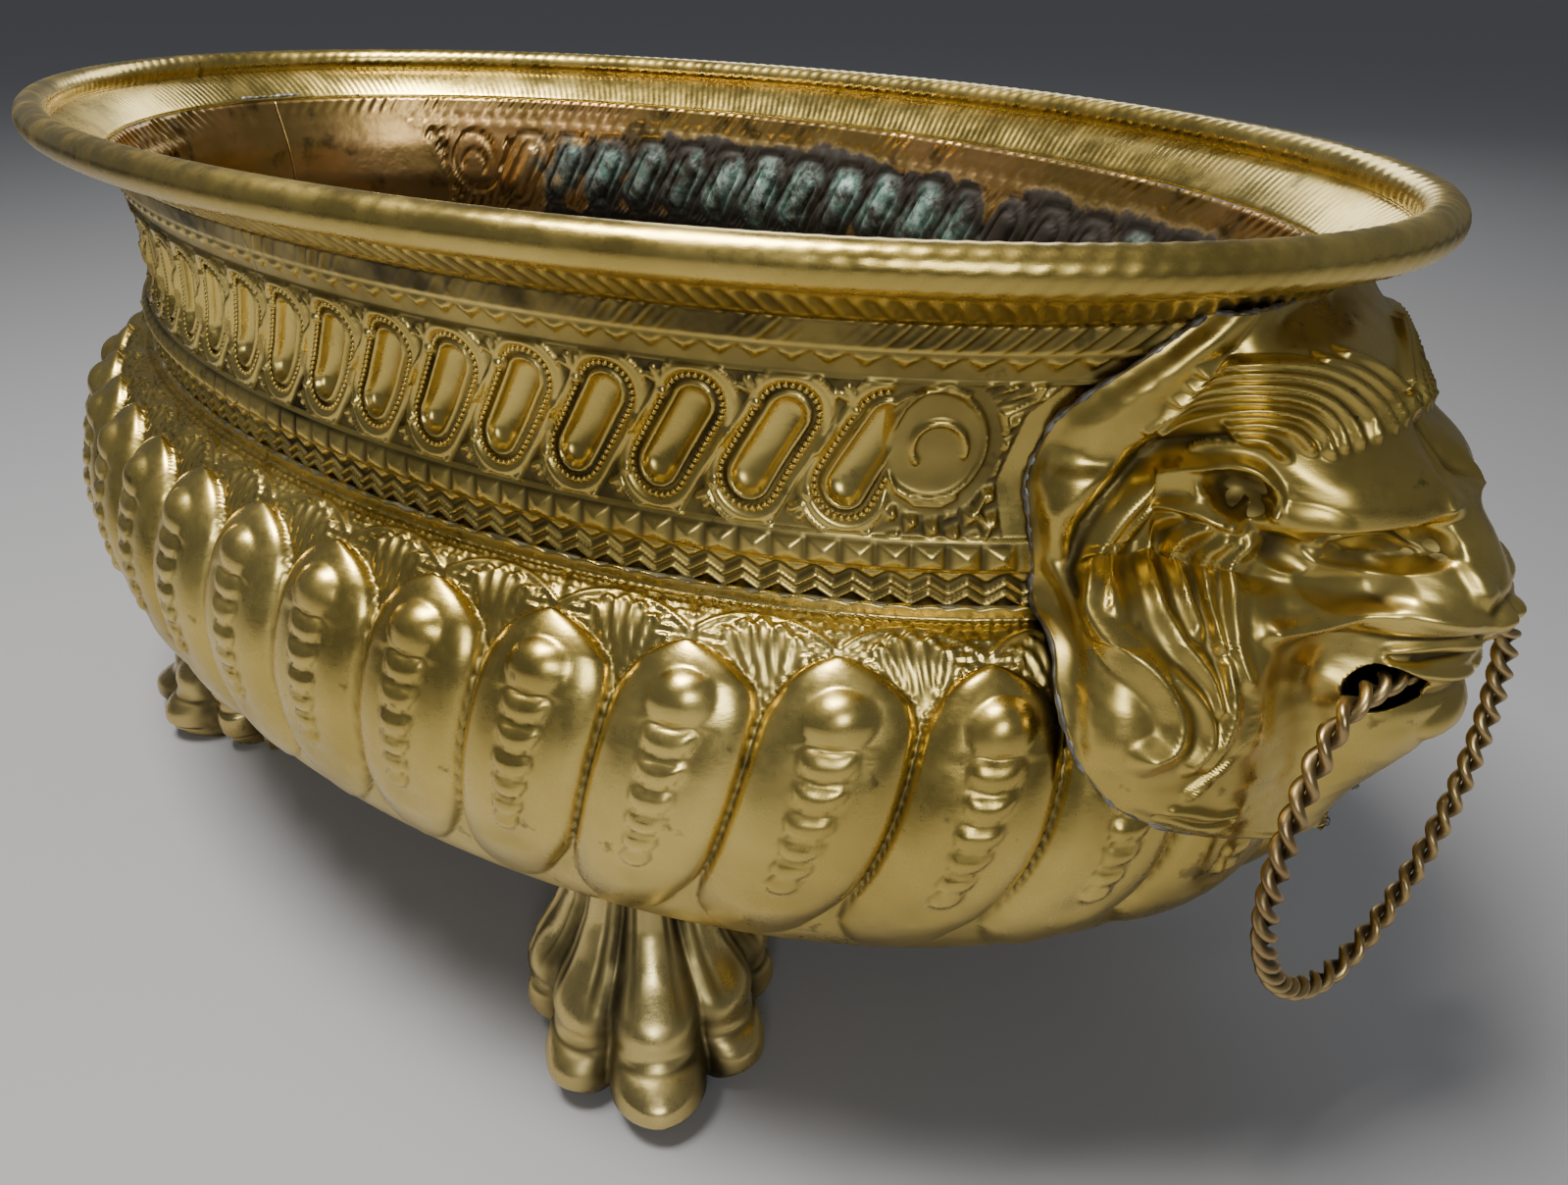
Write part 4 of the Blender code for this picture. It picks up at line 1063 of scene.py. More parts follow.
def level_sections(z):
    """Points of each level section at plan shares -1 to 1: collar plate, cheeks and blunt muzzle."""
    front, seam, foot, power, muzzle, step_back = (along_height(table, z) for table in (
        MASK_PROFILE, MASK_SEAM, MASK_FOOT, MASK_ROUND, MUZZLE_WIDE, MUZZLE_STEP))
    t = np.linspace(-1.0, 1.0, 1201)[None, :]
    inside = smooth_step(1.0, 0.90, np.abs(t))
    head_inset = body_inset(z, HEAD_BRIDGE) - MASK_STANDOFF
    inset = body_inset(z, EDGE_BRIDGE) * (1.0 - inside) + head_inset * inside - 0.0010
    plan_x, plan_y = oval(np.maximum(np.abs(t), foot) * seam, inset)
    foot_x, foot_y = oval(foot * seam, head_inset)
    turn = 0.5 * math.pi * np.clip(np.abs(t) / foot, 0.0, 1.0)
    head_y = foot_y * np.sin(turn) ** (2.0 / power)
    head_x = foot_x + (front - step_back - foot_x) * np.maximum(np.cos(turn), 0.0) ** (2.0 / power)
    blunt = np.clip(1.0 - (head_y / muzzle) ** MUZZLE_POWER, 0.0, 1.0) ** (1.0 / MUZZLE_POWER)
    head_x = np.maximum(head_x, np.where(step_back > 1e-4, foot_x + (front - foot_x) * blunt, 0.0))
    on_head = np.abs(t) < foot
    x = np.where(on_head, np.maximum(head_x, 0.0), plan_x)
    y = np.where(on_head, head_y, plan_y) * np.sign(t + 1e-12)
    return np.stack([x, y, np.broadcast_to(z, x.shape)], axis=-1)


def section_lengths(grid):
    """Length walked along each section to each of its points."""
    step = np.hypot(np.diff(grid[..., 0], axis=1), np.diff(grid[..., 1], axis=1))
    return np.concatenate([np.zeros((len(grid), 1)), np.cumsum(step, axis=1)], axis=1)


def mask_base():
    """Grid of the mask's smooth form for the +X end, with its flat coordinates."""
    fine_z = np.linspace(MASK_PROFILE[0][0], MASK_PROFILE[-1][0], 2001)
    front = along_height(MASK_PROFILE, fine_z)
    walked = np.concatenate([[0.0], np.cumsum(np.hypot(np.diff(fine_z), 0.7 * np.diff(front)))])
    grid = level_sections(np.interp(np.linspace(0.0, walked[-1], MASK_ROWS), walked, fine_z)[:, None])
    even = np.linspace(0.0, 1.0, MASK_COLUMNS)
    for _ in range(2):
        length = section_lengths(grid)
        grid = np.stack([np.stack([np.interp(even, share, row[:, k]) for k in range(3)], axis=-1)
                         for share, row in zip(length / length[:, -1:], grid)])
        for _ in range(9):
            grid[:, 1:-1] = 0.25 * grid[:, :-2] + 0.5 * grid[:, 1:-1] + 0.25 * grid[:, 2:]
            grid[1:-1, 1:-1] = 0.25 * grid[:-2, 1:-1] + 0.5 * grid[1:-1, 1:-1] + 0.25 * grid[2:, 1:-1]
    length = section_lengths(grid)
    middle = np.array([np.interp(0.0, row[:, 1], s) for row, s in zip(grid, length)])[:, None]
    return grid, np.abs(length - middle), grid[..., 2]


base, along, height = mask_base()
print("mask stands out to x =", round(float(base[..., 0].max()), 4), "m")

# %% [markdown]
# ### Chasing the mask
#
# A chaser works along lines, so each lock of hair is a list of points with a width and a height:
# the height falls off across the line as a bell. Pits and swellings are ellipses. The number
# `hollow` is how far a place lies below the average of its surroundings, so grime and painted shade
# fill the grooves and the wide recesses under the brow by themselves.

# %% The chased hair, as (length round the head, height) points
HAIR = (
    ((0.0010, 0.2430), (0.0030, 0.2480), (0.0080, 0.2525), (0.0140, 0.2555), (0.0200, 0.2575)),
    ((0.0085, 0.2425), (0.0100, 0.2470), (0.0135, 0.2505), (0.0200, 0.2545), (0.0280, 0.2572)),
    ((0.0140, 0.2420), (0.0165, 0.2475), (0.0210, 0.2515), (0.0290, 0.2555), (0.0400, 0.2575),
     (0.0520, 0.2568), (0.0600, 0.2550)),
    ((0.0215, 0.2410), (0.0215, 0.2450), (0.0250, 0.2495), (0.0320, 0.2535), (0.0420, 0.2555),
     (0.0530, 0.2548), (0.0640, 0.2512)),
    ((0.0275, 0.2405), (0.0285, 0.2450), (0.0315, 0.2490), (0.0390, 0.2525), (0.0500, 0.2530),
     (0.0600, 0.2508), (0.0690, 0.2475)),
    ((0.0325, 0.2400), (0.0325, 0.2445), (0.0360, 0.2485), (0.0430, 0.2507), (0.0530, 0.2507),
     (0.0630, 0.2482), (0.0720, 0.2445), (0.0800, 0.2405)),
    ((0.0365, 0.2390), (0.0368, 0.2430), (0.0410, 0.2465), (0.0490, 0.2478), (0.0580, 0.2465),
     (0.0670, 0.2435), (0.0760, 0.2395)),
    ((0.0410, 0.2400), (0.0440, 0.2435), (0.0510, 0.2447), (0.0580, 0.2437)),
    ((0.0480, 0.2385), (0.0510, 0.2412), (0.0570, 0.2412)),
)
GREAT_LOCK = ((0.0620, 0.2345), (0.0720, 0.2322), (0.0800, 0.2285), (0.0890, 0.2228), (0.0970, 0.2165),
              (0.1030, 0.2105), (0.1075, 0.2035), (0.1088, 0.1985), (0.1040, 0.1925), (0.0980, 0.1880),
              (0.0935, 0.1820), (0.0920, 0.1765), (0.0940, 0.1715), (0.0990, 0.1695))
OUTER_LOCK = ((0.0750, 0.2425), (0.0870, 0.2360), (0.0980, 0.2290), (0.1080, 0.2200), (0.1140, 0.2110),
              (0.1165, 0.2030), (0.1150, 0.1950))
LOCKS = (
    ((0.0640, 0.2195), (0.0730, 0.2220), (0.0830, 0.2212), (0.0920, 0.2168), (0.0985, 0.2110),
     (0.1030, 0.2045), (0.1045, 0.1990)),
    ((0.0770, 0.2205), (0.0850, 0.2160), (0.0910, 0.2085), (0.0935, 0.2000), (0.0910, 0.1945),
     (0.0860, 0.1890), (0.0820, 0.1840), (0.0805, 0.1790)),
    ((0.0700, 0.2190), (0.0770, 0.2140), (0.0825, 0.2075), (0.0855, 0.2010), (0.0850, 0.1950)),
    ((0.0660, 0.2165), (0.0720, 0.2115), (0.0768, 0.2050), (0.0790, 0.1990), (0.0782, 0.1920)),
    ((0.0610, 0.2155), (0.0670, 0.2105), (0.0712, 0.2040), (0.0738, 0.1980), (0.0740, 0.1910),
     (0.0725, 0.1850)),
    ((0.0925, 0.1865), (0.0870, 0.1818), (0.0838, 0.1765), (0.0840, 0.1705), (0.0880, 0.1660)),
    ((0.0770, 0.1880), (0.0765, 0.1810), (0.0780, 0.1740), (0.0830, 0.1660)),
)
SWEPT = ((0.0600, 0.2390), (0.0700, 0.2368), (0.0810, 0.2335), (0.0920, 0.2272), (0.1010, 0.2190),
         (0.1080, 0.2105), (0.1120, 0.2020))

# %% The face, the ear and the jaw: lines are (rise, width, points), ellipses (rise, power, place,
# height, half width, half height), and a minus sinks them
EYE = ((-0.0068, 0.8, 0.0300, 0.2145, 0.0200, 0.0072), (0.0022, 0.6, 0.0300, 0.2148, 0.0110, 0.0038))
EYELID = (0.0009, 0.0014, ((0.0180, 0.2135), (0.0260, 0.2162), (0.0360, 0.2165), (0.0440, 0.2140)))
FROWN = ((0.0010, 0.2395), (0.0030, 0.2310), (0.0090, 0.2240))
CHEEK = ((0.0022, 1.0, 0.0480, 0.2215, 0.0120, 0.0060), (-0.0036, 1.0, 0.0540, 0.2135, 0.0080, 0.0060),
         (-0.0026, 1.0, 0.0400, 0.2050, 0.0150, 0.0070), (0.0030, 1.0, 0.0200, 0.2045, 0.0150, 0.0085))
WHISKER_RIDGE = (0.0036, 0.0052, ((0.0030, 0.1975), (0.0120, 0.1972), (0.0300, 0.1985),
                                  (0.0450, 0.1976), (0.0640, 0.1952)))
LIPS = (
    (0.0016, 0.0034, ((0.0060, 0.1895), (0.0160, 0.1902), (0.0250, 0.1900), (0.0310, 0.1890))),
    (0.0022, 0.0036, ((0.0020, 0.1800), (0.0120, 0.1812), (0.0220, 0.1835), (0.0310, 0.1862))),
    (-0.0026, 0.0022, ((0.0000, 0.1852), (0.0120, 0.1862), (0.0220, 0.1868), (0.0310, 0.1876))),
    (-0.0018, 0.0040, ((0.0, 0.1745), (0.0120, 0.1752), (0.0230, 0.1765), (0.0310, 0.1770))),
)
CHIN_AND_NOSE = ((0.0030, 1.0, 0.0000, 0.1655, 0.0170, 0.0070),
                 (0.0030, 0.7, 0.0000, 0.1955, 0.0095, 0.0055),
                 (-0.0022, 1.0, 0.0055, 0.1925, 0.0030, 0.0018))
EAR_RIM = ((0.0545, 0.2235), (0.0530, 0.2300), (0.0560, 0.2345), (0.0640, 0.2342), (0.0700, 0.2300),
           (0.0715, 0.2245), (0.0670, 0.2200))
EAR_HOLLOW = (-0.0075, 0.8, 0.0612, 0.2278, 0.0088, 0.0064)
EAR_FOLD = (0.0022, 0.0026, ((0.0560, 0.2262), (0.0605, 0.2245), (0.0640, 0.2205)))
FRINGE = ((0.0655, 0.2110), (0.0685, 0.2050), (0.0702, 0.1990), (0.0708, 0.1920), (0.0705, 0.1860),
          (0.0700, 0.1790), (0.0725, 0.1715), (0.0780, 0.1645), (0.0840, 0.1580))
JAW_FOLDS = (
    (0.0014, 0.0030, ((0.0640, 0.1470), (0.0720, 0.1480), (0.0800, 0.1510), (0.0870, 0.1530))),
    (-0.0012, 0.0018, ((0.0640, 0.1448), (0.0730, 0.1458), (0.0820, 0.1488), (0.0890, 0.1505))),
)
FOREHEAD_SLIT = (-0.0050, 1.0, 0.0010, 0.2468, 0.0024, 0.0012)


# %% Chasing tools
def pit(along, height, place, level, wide, tall):
    """A soft ellipse: 1 in its middle, 0 outside."""
    return np.clip(1.0 - ((along - place) / wide) ** 2 - ((height - level) / tall) ** 2, 0.0, 1.0)


def eased_line(points, pieces=5):
    """The stroke's corners rounded, with a Catmull-Rom curve through its points."""
    p = np.array(points)
    p = np.concatenate([[2 * p[0] - p[1]], p, [2 * p[-1] - p[-2]]])
    t = np.linspace(0.0, 1.0, pieces, endpoint=False)[:, None]
    made = [0.5 * (2 * b + (c - a) * t + (2 * a - 5 * b + 4 * c - d) * t**2 + (3 * b - a - 3 * c + d) * t**3)
            for a, b, c, d in zip(p[:-3], p[1:-2], p[2:-1], p[3:])]
    return np.concatenate([*made, p[-2:-1]])


def with_lines(relief, along, height, *lines):
    """Adds lines, each (rise, width, points)."""
    for rise, width, points in lines:
        relief = relief + rise * stroke(along, height, eased_line(points), width)
    return relief


def with_pits(relief, along, height, *pits):
    """Adds soft ellipses, each (rise, power, place, level, half width, half height)."""
    for rise, power, *ellipse in pits:
        relief = relief + rise * pit(along, height, *ellipse) ** power
    return relief


def lock(along, height, points, width, power):
    """A lock of hair: 1 along its ridge, falling to nothing at `width`."""
    return np.clip(1.0 - line_distance(along, height, eased_line(points)) / width, 0.0, 1.0) ** power


# %% The mask's relief
def mane(along, height):
    """Hair over the brow, the locks beside the face, and the furrow swept behind the ear."""
    relief = np.zeros(along.shape)
    for points in HAIR:
        relief = np.maximum(relief, 0.0028 * lock(along, height, points, 0.0026, 1.3))
    relief = np.maximum(relief, 0.0042 * lock(along, height, GREAT_LOCK, 0.0055, 1.2))
    relief = np.maximum(relief, 0.0016 * lock(along, height, OUTER_LOCK, 0.0060, 1.2))
    for points in LOCKS:
        relief = np.maximum(relief, 0.0032 * lock(along, height, points, 0.0034, 1.2))
    relief = with_lines(relief, along, height, (-0.0030, 0.0050, SWEPT))
    swell = smooth_step(0.0590, 0.0700, along) * smooth_step(0.118, 0.110, along)
    return relief + 0.0026 * swell * smooth_step(0.160, 0.172, height) * smooth_step(0.236, 0.226, height)


def face(relief, along, height):
    """Brow, eye and bridge, then cheek, muzzle, lips, chin and nose."""
    brow = smooth_step(0.2190, 0.2225, height) * smooth_step(0.2400, 0.2260, height)
    relief = relief + 0.0042 * brow * smooth_step(0.058, 0.034, along) * smooth_step(0.002, 0.012, along)
    relief = with_lines(with_pits(relief, along, height, *EYE), along, height, EYELID)
    bridge = smooth_step(0.1985, 0.2040, height) * smooth_step(0.2300, 0.2230, height)
    relief = relief + 0.0028 * bridge * smooth_step(0.0140, 0.0095, along)
    relief = with_pits(relief - 0.0012 * stroke(along, height, FROWN, 0.0030), along, height, *CHEEK)
    relief = with_lines(relief, along, height, WHISKER_RIDGE)
    under = smooth_step(0.1955, 0.1925, height) * smooth_step(0.1700, 0.1880, height)
    relief = relief - 0.0034 * under * smooth_step(0.074, 0.044, along) * smooth_step(0.004, 0.020, along)
    return with_pits(with_lines(relief, along, height, *LIPS), along, height, *CHIN_AND_NOSE)


def ear_and_jaw(relief, along, height):
    """The ear, a raised C round a deep hollow; a twisted fringe down the jaw, and the folds
    under it."""
    relief = raise_to(relief, 0.0036 * stroke(along, height, eased_line(EAR_RIM), 0.0040))
    relief = with_lines(with_pits(relief, along, height, EAR_HOLLOW), along, height, EAR_FOLD)
    twist = 0.0022 + 0.0006 * np.sin(TAU * (height + 0.7 * along) / 0.0024)
    relief = raise_to(relief, twist * stroke(along, height, eased_line(FRINGE), 0.0042))
    return with_lines(relief, along, height, *JAW_FOLDS)


def mask_relief(along, height):
    """Everything chased on the mask, as a height along its normal, and a slight beaten wobble."""
    relief = ear_and_jaw(face(mane(along, height), along, height), along, height)
    relief = with_pits(relief, along, height, FOREHEAD_SLIT)
    wobble = 0.00010 * np.sin(along * 310.0 + 3.0 * np.sin(height * 260.0))
    return relief + wobble * np.sin(height * 420.0 + 2.0 * np.sin(along * 190.0))


def smoothed(grid, passes):
    """Each point drawn to the mean of its four neighbours, this many times."""
    for _ in range(passes):
        grid = np.pad(grid, 1, mode="edge")
        near = grid[:-2, 1:-1] + grid[2:, 1:-1] + grid[1:-1, :-2] + grid[1:-1, 2:]
        grid = 0.5 * grid[1:-1, 1:-1] + 0.125 * near
    return grid


# %% [markdown]
# ### Cutting the cheek holes
#
# The mask's two skins become one closed plate, and a round drill then cuts the bail's hole
# through each cheek, on the hinge's own axis. The loose bails hang askew, so the axis is too.

# %% The plate and the drill
AXIS_SKEW, AXIS_REACH, AXIS_HEIGHT, CHEEK_HOLE = math.radians(-12.0), 0.030, 0.179, 0.0066
DRILL_FROM, DRILL_TO = 0.014, 0.075


def bail_point(end, along, down):
    """World point from a place along the hinge's axis and a drop below it."""
    along, down = np.asarray(along, float), np.asarray(down, float)
    x = HALF_LENGTH + AXIS_REACH - math.sin(AXIS_SKEW) * along
    return np.stack([end * x, end * math.cos(AXIS_SKEW) * along, AXIS_HEIGHT - down], axis=-1)


def border(grid):
    """The grid's outer points in order: first row, last column, last row, first column."""
    return np.concatenate([grid[0], grid[1:, -1], grid[-1, -2::-1], grid[-2:0:-1, 0]])


def plate(name, outer, inner, fields):
    """A sheet with two skins and a closed edge. The inner skin is coarser: one cell to every
    INNER_STEP of the outer, and its border cells take in the border's points."""
    rows, columns = outer.shape[:2]
    size, k = rows * columns, INNER_STEP
    number = np.arange(size).reshape(rows, columns)
    edge = border(number)
    after = np.roll(edge, -1)
    faces = np.concatenate([quads(rows, columns), np.stack([edge, edge + size, after + size, after], axis=1)])
    cells = []
    for i in range(0, rows - 1, k):
        for j in range(0, columns - 1, k):
            top = number[i, j:j + k] if i == 0 else number[i, [j]]
            east = number[i:i + k, j + k] if j + k == columns - 1 else number[[i], j + k]
            low = number[i + k, j + k:j:-1] if i + k == rows - 1 else number[i + k, [j + k]]
            west = number[i + k:i:-1, j] if j == 0 else number[[i + k], j]
            cells.append(np.concatenate([top, east, low, west])[::-1] + size)
    points = np.concatenate([outer.reshape(-1, 3), inner.reshape(-1, 3)])
    used = np.unique(np.concatenate([faces.ravel(), *cells]))
    new = np.zeros(len(points), int)
    new[used] = np.arange(len(used))
    return mesh_piece(name, points[used], new[faces], [new[c] for c in cells],
                      {label: values[used] for label, values in fields.items()})


def drill(piece, base, tip, radius):
    """Cuts a round hole through a piece, and removes the drill."""
    base, tip = Vector(base), Vector(tip)
    work = bmesh.new()
    turn = (tip - base).to_track_quat("Z", "Y").to_matrix().to_4x4()
    bmesh.ops.create_cone(work, cap_ends=True, segments=28, radius1=radius, radius2=radius,
                          depth=(tip - base).length, matrix=Matrix.Translation(0.5 * (base + tip)) @ turn)
    mesh = bpy.data.meshes.new("drill")
    work.to_mesh(mesh)
    work.free()
    tool = bpy.data.objects.new("drill", mesh)
    bpy.context.scene.collection.objects.link(tool)
    cut = piece.modifiers.new("hole", "BOOLEAN")
    cut.operation, cut.object, cut.solver = "DIFFERENCE", tool, "MANIFOLD"
    bpy.context.view_layer.update()
    ready = bpy.data.meshes.new_from_object(piece.evaluated_get(bpy.context.evaluated_depsgraph_get()))
    piece.modifiers.clear()
    old, piece.data = piece.data, ready
    bpy.data.meshes.remove(old)
    bpy.data.objects.remove(tool)
    bpy.data.meshes.remove(mesh)


# %% The two masks
outward = normals_of(base)
outward *= np.sign(outward[..., 0].mean())
outward = np.stack([smoothed(outward[..., k], 6) for k in range(3)], axis=-1)
rows_in, columns_in = (np.minimum(np.arange(n), n - 1 - np.arange(n)) for n in (MASK_ROWS, MASK_COLUMNS))
edge_fade = smooth_step(0.0, 4.0, np.minimum(rows_in[:, None], columns_in[None, :]).astype(float))
relief = mask_relief(along, height) * edge_fade
mask_outer = base + outward * relief[..., None]
mask_inner = base + outward * (smoothed(relief, 8) * 0.9 - SHEET - 0.0024 * (1.0 - edge_fade))[..., None]
# `hollow` on the mask: grime and painted shade in the fine grooves, and broad painted shade under the brow
# and in the other wide recesses
fine_hollow = np.clip((smoothed(relief, 60) - relief) / 0.0020, 0.0, 1.0)
wide_painted_shade = np.clip((smoothed(relief, 500) - relief - 0.0008) / 0.0034, 0.0, 1.0)
mask_hollow = np.maximum(fine_hollow, 0.80 * wide_painted_shade).ravel()
for label, end in (("right", 1.0), ("left", -1.0)):
    turned = np.array([end, end, 1.0])
    mask = plate(f"{label}_mask_chased", mask_outer * turned, mask_inner * turned,
                 {"hollow": np.concatenate([mask_hollow, np.full(mask_hollow.size, 0.9)])})
    for way in (-1.0, 1.0):
        ends = (bail_point(end, way * reach, 0.0) for reach in (DRILL_FROM, DRILL_TO))
        drill(mask, *ends, CHEEK_HOLE)
    mask.data.shade_smooth()
    finish_piece(mask, mask_brass, stands_for=(f"{label}_lion_mask",))

# %% [markdown]
# ## The solder
#
# Grey solder was run round each collar and along the bowl's lip, and never quite cleaned off. It
# is a thin tube whose thickness wanders, as a bead of solder does, along the plate's own edge.

# %% Solder round the collars and the lip
SOLDER_SIDES, COLLAR_BEAD, LIP_BEAD, LIP_BEAD_HEIGHT = 7, 0.00085, 0.0010, 0.1903


def solder_bead(name, path, radius, finish):
    """A tube of varying radius along a closed path: two directions square to it at each point."""
    step = np.roll(path, -1, axis=0) - np.roll(path, 1, axis=0)
    step /= np.linalg.norm(step, axis=1, keepdims=True)
    first = np.cross(step, np.array([0.3, 0.9, 0.2]))
    first /= np.linalg.norm(first, axis=1, keepdims=True)
    second = np.cross(step, first)
    turn = (TAU * np.arange(SOLDER_SIDES) / SOLDER_SIDES)[:, None, None]
    skin = path[None] + radius[None, :, None] * (np.cos(turn) * first + np.sin(turn) * second)
    finish_piece(ring(name, skin, {"hollow": np.zeros(skin.shape[:2])}), finish)


outline = border(mask_outer - 0.0008 * outward)
for _ in range(3):
    outline = 0.25 * np.roll(outline, 1, axis=0) + 0.5 * outline + 0.25 * np.roll(outline, -1, axis=0)
count = np.arange(len(outline))
wander = 1.0 + 0.35 * np.sin(count * 0.21) * np.sin(count * 0.083 + 1.0) + 0.2 * np.sin(count * 0.67)
turn = TAU * np.arange(420) / 420
x, y = oval(turn, LIP_INSET + 0.0013)
lip_path = np.stack([x, y, LIP_BEAD_HEIGHT + 0.00035 * np.sin(turn * 57.0) * np.sin(turn * 23.0)], axis=-1)
lip_wander = 1.0 + 0.25 * np.sin(turn * 91.0) * np.sin(turn * 37.0)
solder_bead("lip_solder", lip_path, LIP_BEAD * lip_wander, dull_solder)
for label, end in (("right", 1.0), ("left", -1.0)):
    collar = outline * np.array([end, end, 1.0])
    solder_bead(f"{label}_collar_solder", collar, COLLAR_BEAD * wander, grey_solder)

# %% [markdown]
# ## The bail handles
#
# Two rods are twisted together and bent to a long drop, and each end turns in through a cheek
# hole. A strand's centre winds round the bail's middle line: place on the line, plus a small
# radius times the cosine and sine of the twist in the two directions square to it. A curve with
# a bevel would make a smooth ring; two wound strands catch the light as twisted rods do.

# %% The twisted strands
STRAND, STRAND_GAP, LEAD, STRAND_SIDES, STEPS_A_TURN = 0.0018, 0.0001, 0.0172, 12, 16
DROP, BULGE, TIP, ELBOW = 0.118, 0.066, 0.008, 0.043


def bail_line(count):
    """Middle line in (along, down), evenly spaced, with its corners smoothed, and its length."""
    turns = np.linspace(-0.5 * math.pi, 0.5 * math.pi, 161)
    down = DROP * np.cos(turns) ** 0.9
    wide = BULGE + (ELBOW - BULGE) * (1.0 - down / DROP) ** 2
    along = np.sign(turns) * np.abs(np.sin(turns)) ** 1.1 * wide
    inner = np.linspace(TIP, ELBOW, 21)[:-1]
    along = np.concatenate([-inner, along, inner[::-1]])
    down = np.concatenate([np.zeros(len(inner)), down, np.zeros(len(inner))])
    for _ in range(24):
        along[1:-1] = 0.25 * along[:-2] + 0.5 * along[1:-1] + 0.25 * along[2:]
        down[1:-1] = 0.25 * down[:-2] + 0.5 * down[1:-1] + 0.25 * down[2:]
    length = np.concatenate([[0.0], np.cumsum(np.hypot(np.diff(along), np.diff(down)))])
    even = np.linspace(0.0, length[-1], count)
    return np.interp(even, length, along), np.interp(even, length, down), length[-1]


def strand(name, end, phase, stands_for, body):
    """One rod wound round the bail's middle line from this phase of the twist."""
    turns = round(bail_line(400)[2] / LEAD)
    count, sides = turns * STEPS_A_TURN + 1, STRAND_SIDES
    along, down, _ = bail_line(count)
    line = bail_point(end, along, down)
    ahead = np.gradient(line, axis=0)
    ahead /= np.linalg.norm(ahead, axis=1, keepdims=True)
    third = bail_point(end, 0.0, 0.0) - bail_point(end, 1.0, 0.0)
    third = np.cross(third, np.array([0.0, 0.0, 1.0]))
    third = np.broadcast_to(third / np.linalg.norm(third), line.shape)
    out = np.cross(ahead, third)
    twist = (TAU * turns * np.arange(count) / (count - 1) + phase)[:, None]
    centre = line + (STRAND + STRAND_GAP) * (np.cos(twist) * out + np.sin(twist) * third)
    worn = 1.0 + 0.05 * np.sin(np.arange(count) * 0.37 + phase)
    spin = TAU * np.arange(sides) / sides
    ring_at = np.cos(spin)[:, None, None] * out + np.sin(spin)[:, None, None] * third
    skin = centre[None] + STRAND * worn[None, :, None] * ring_at
    # grime and painted shade on the side of each rod that faces the other
    hollow = np.clip(0.35 - 0.75 * np.cos(spin[:, None] - twist[:, 0][None, :]), 0.0, 1.0)
    ends = (np.arange(sides) * count, np.arange(sides)[::-1] * count + count - 1)
    made = mesh_piece(name, skin, quads(sides, count, wrap_rows=True), ends, {"hollow": hollow})
    finish_piece(made, antique_brass, body, (stands_for,))


for label, end in (("right", 1.0), ("left", -1.0)):
    for letter, phase in (("a", 0.0), ("b", math.pi)):
        strand(f"{label}_bail_rod_{letter}", end, phase, f"{label}_bail_strand_{letter}", f"{label}_bail")

# %% [markdown]
# ## The cast paws
#
# Each paw is cast solid, so it is one closed skin: an outline round the ankle's axis at every
# height. The outline's reach is a smooth paw less a crease between neighbouring toes, and the
# same creases run on up the leg as the flutes between its tendons. Spheres joined by a remesh
# would be softer and heavier than this.

# %% The paws
FOOT_X, FOOT_Y, FOOT_TURN, TOE_TURN = 0.150, 0.125, math.radians(39.0), math.radians(37.0)
ANKLE_BACK, ANKLE_RADIUS, PAW_SINK = 0.020, 0.025, 0.0015
PAW_ROWS, PAW_COLUMNS = 92, 216
TOE_LONGER = (-0.0035, 0.0, 0.0012, 0.0, -0.0035)    # how far each toe reaches past the paw's outline
# reach of the paw in front, to the side and behind, as (height, reach) tables
PAW_FRONT = ((0.0, 0.0560), (0.003, 0.0630), (0.009, 0.0670), (0.016, 0.0655), (0.022, 0.0600),
             (0.028, 0.0555), (0.036, 0.0500), (0.046, 0.0410), (0.058, 0.0330), (0.072, 0.0275),
             (0.095, 0.0255))
PAW_WIDE = ((0.0, 0.0390), (0.003, 0.0430), (0.010, 0.0460), (0.020, 0.0455), (0.030, 0.0415),
            (0.042, 0.0345), (0.056, 0.0285), (0.072, 0.0250), (0.095, 0.0245))
PAW_HEEL = ((0.0, 0.0260), (0.010, 0.0280), (0.030, 0.0265), (0.060, 0.0240), (0.095, 0.0240))


def eased(table, value):
    """Eased lookup in a (height, reach) table."""
    places, values = np.array(table).T
    fine = np.linspace(places[0], places[-1], 401)
    rough = np.interp(fine, places, values)
    window = np.hanning(17) / np.hanning(17).sum()
    return np.interp(value, fine, np.convolve(np.pad(rough, 8, mode="edge"), window, "valid"))


def bowl_underside(x, y):
    """Height of the bowl's plain underside over a place on the floor."""
    size = np.clip(np.hypot(x / (HALF_LENGTH + BELLY_OUTSET), y / (HALF_WIDTH + BELLY_OUTSET)), 0, 0.999)
    return BELLY_HEIGHT - (BELLY_HEIGHT - BOTTOM_HEIGHT) * (1.0 - size**ROUNDNESS) ** (1.0 / ROUNDNESS)


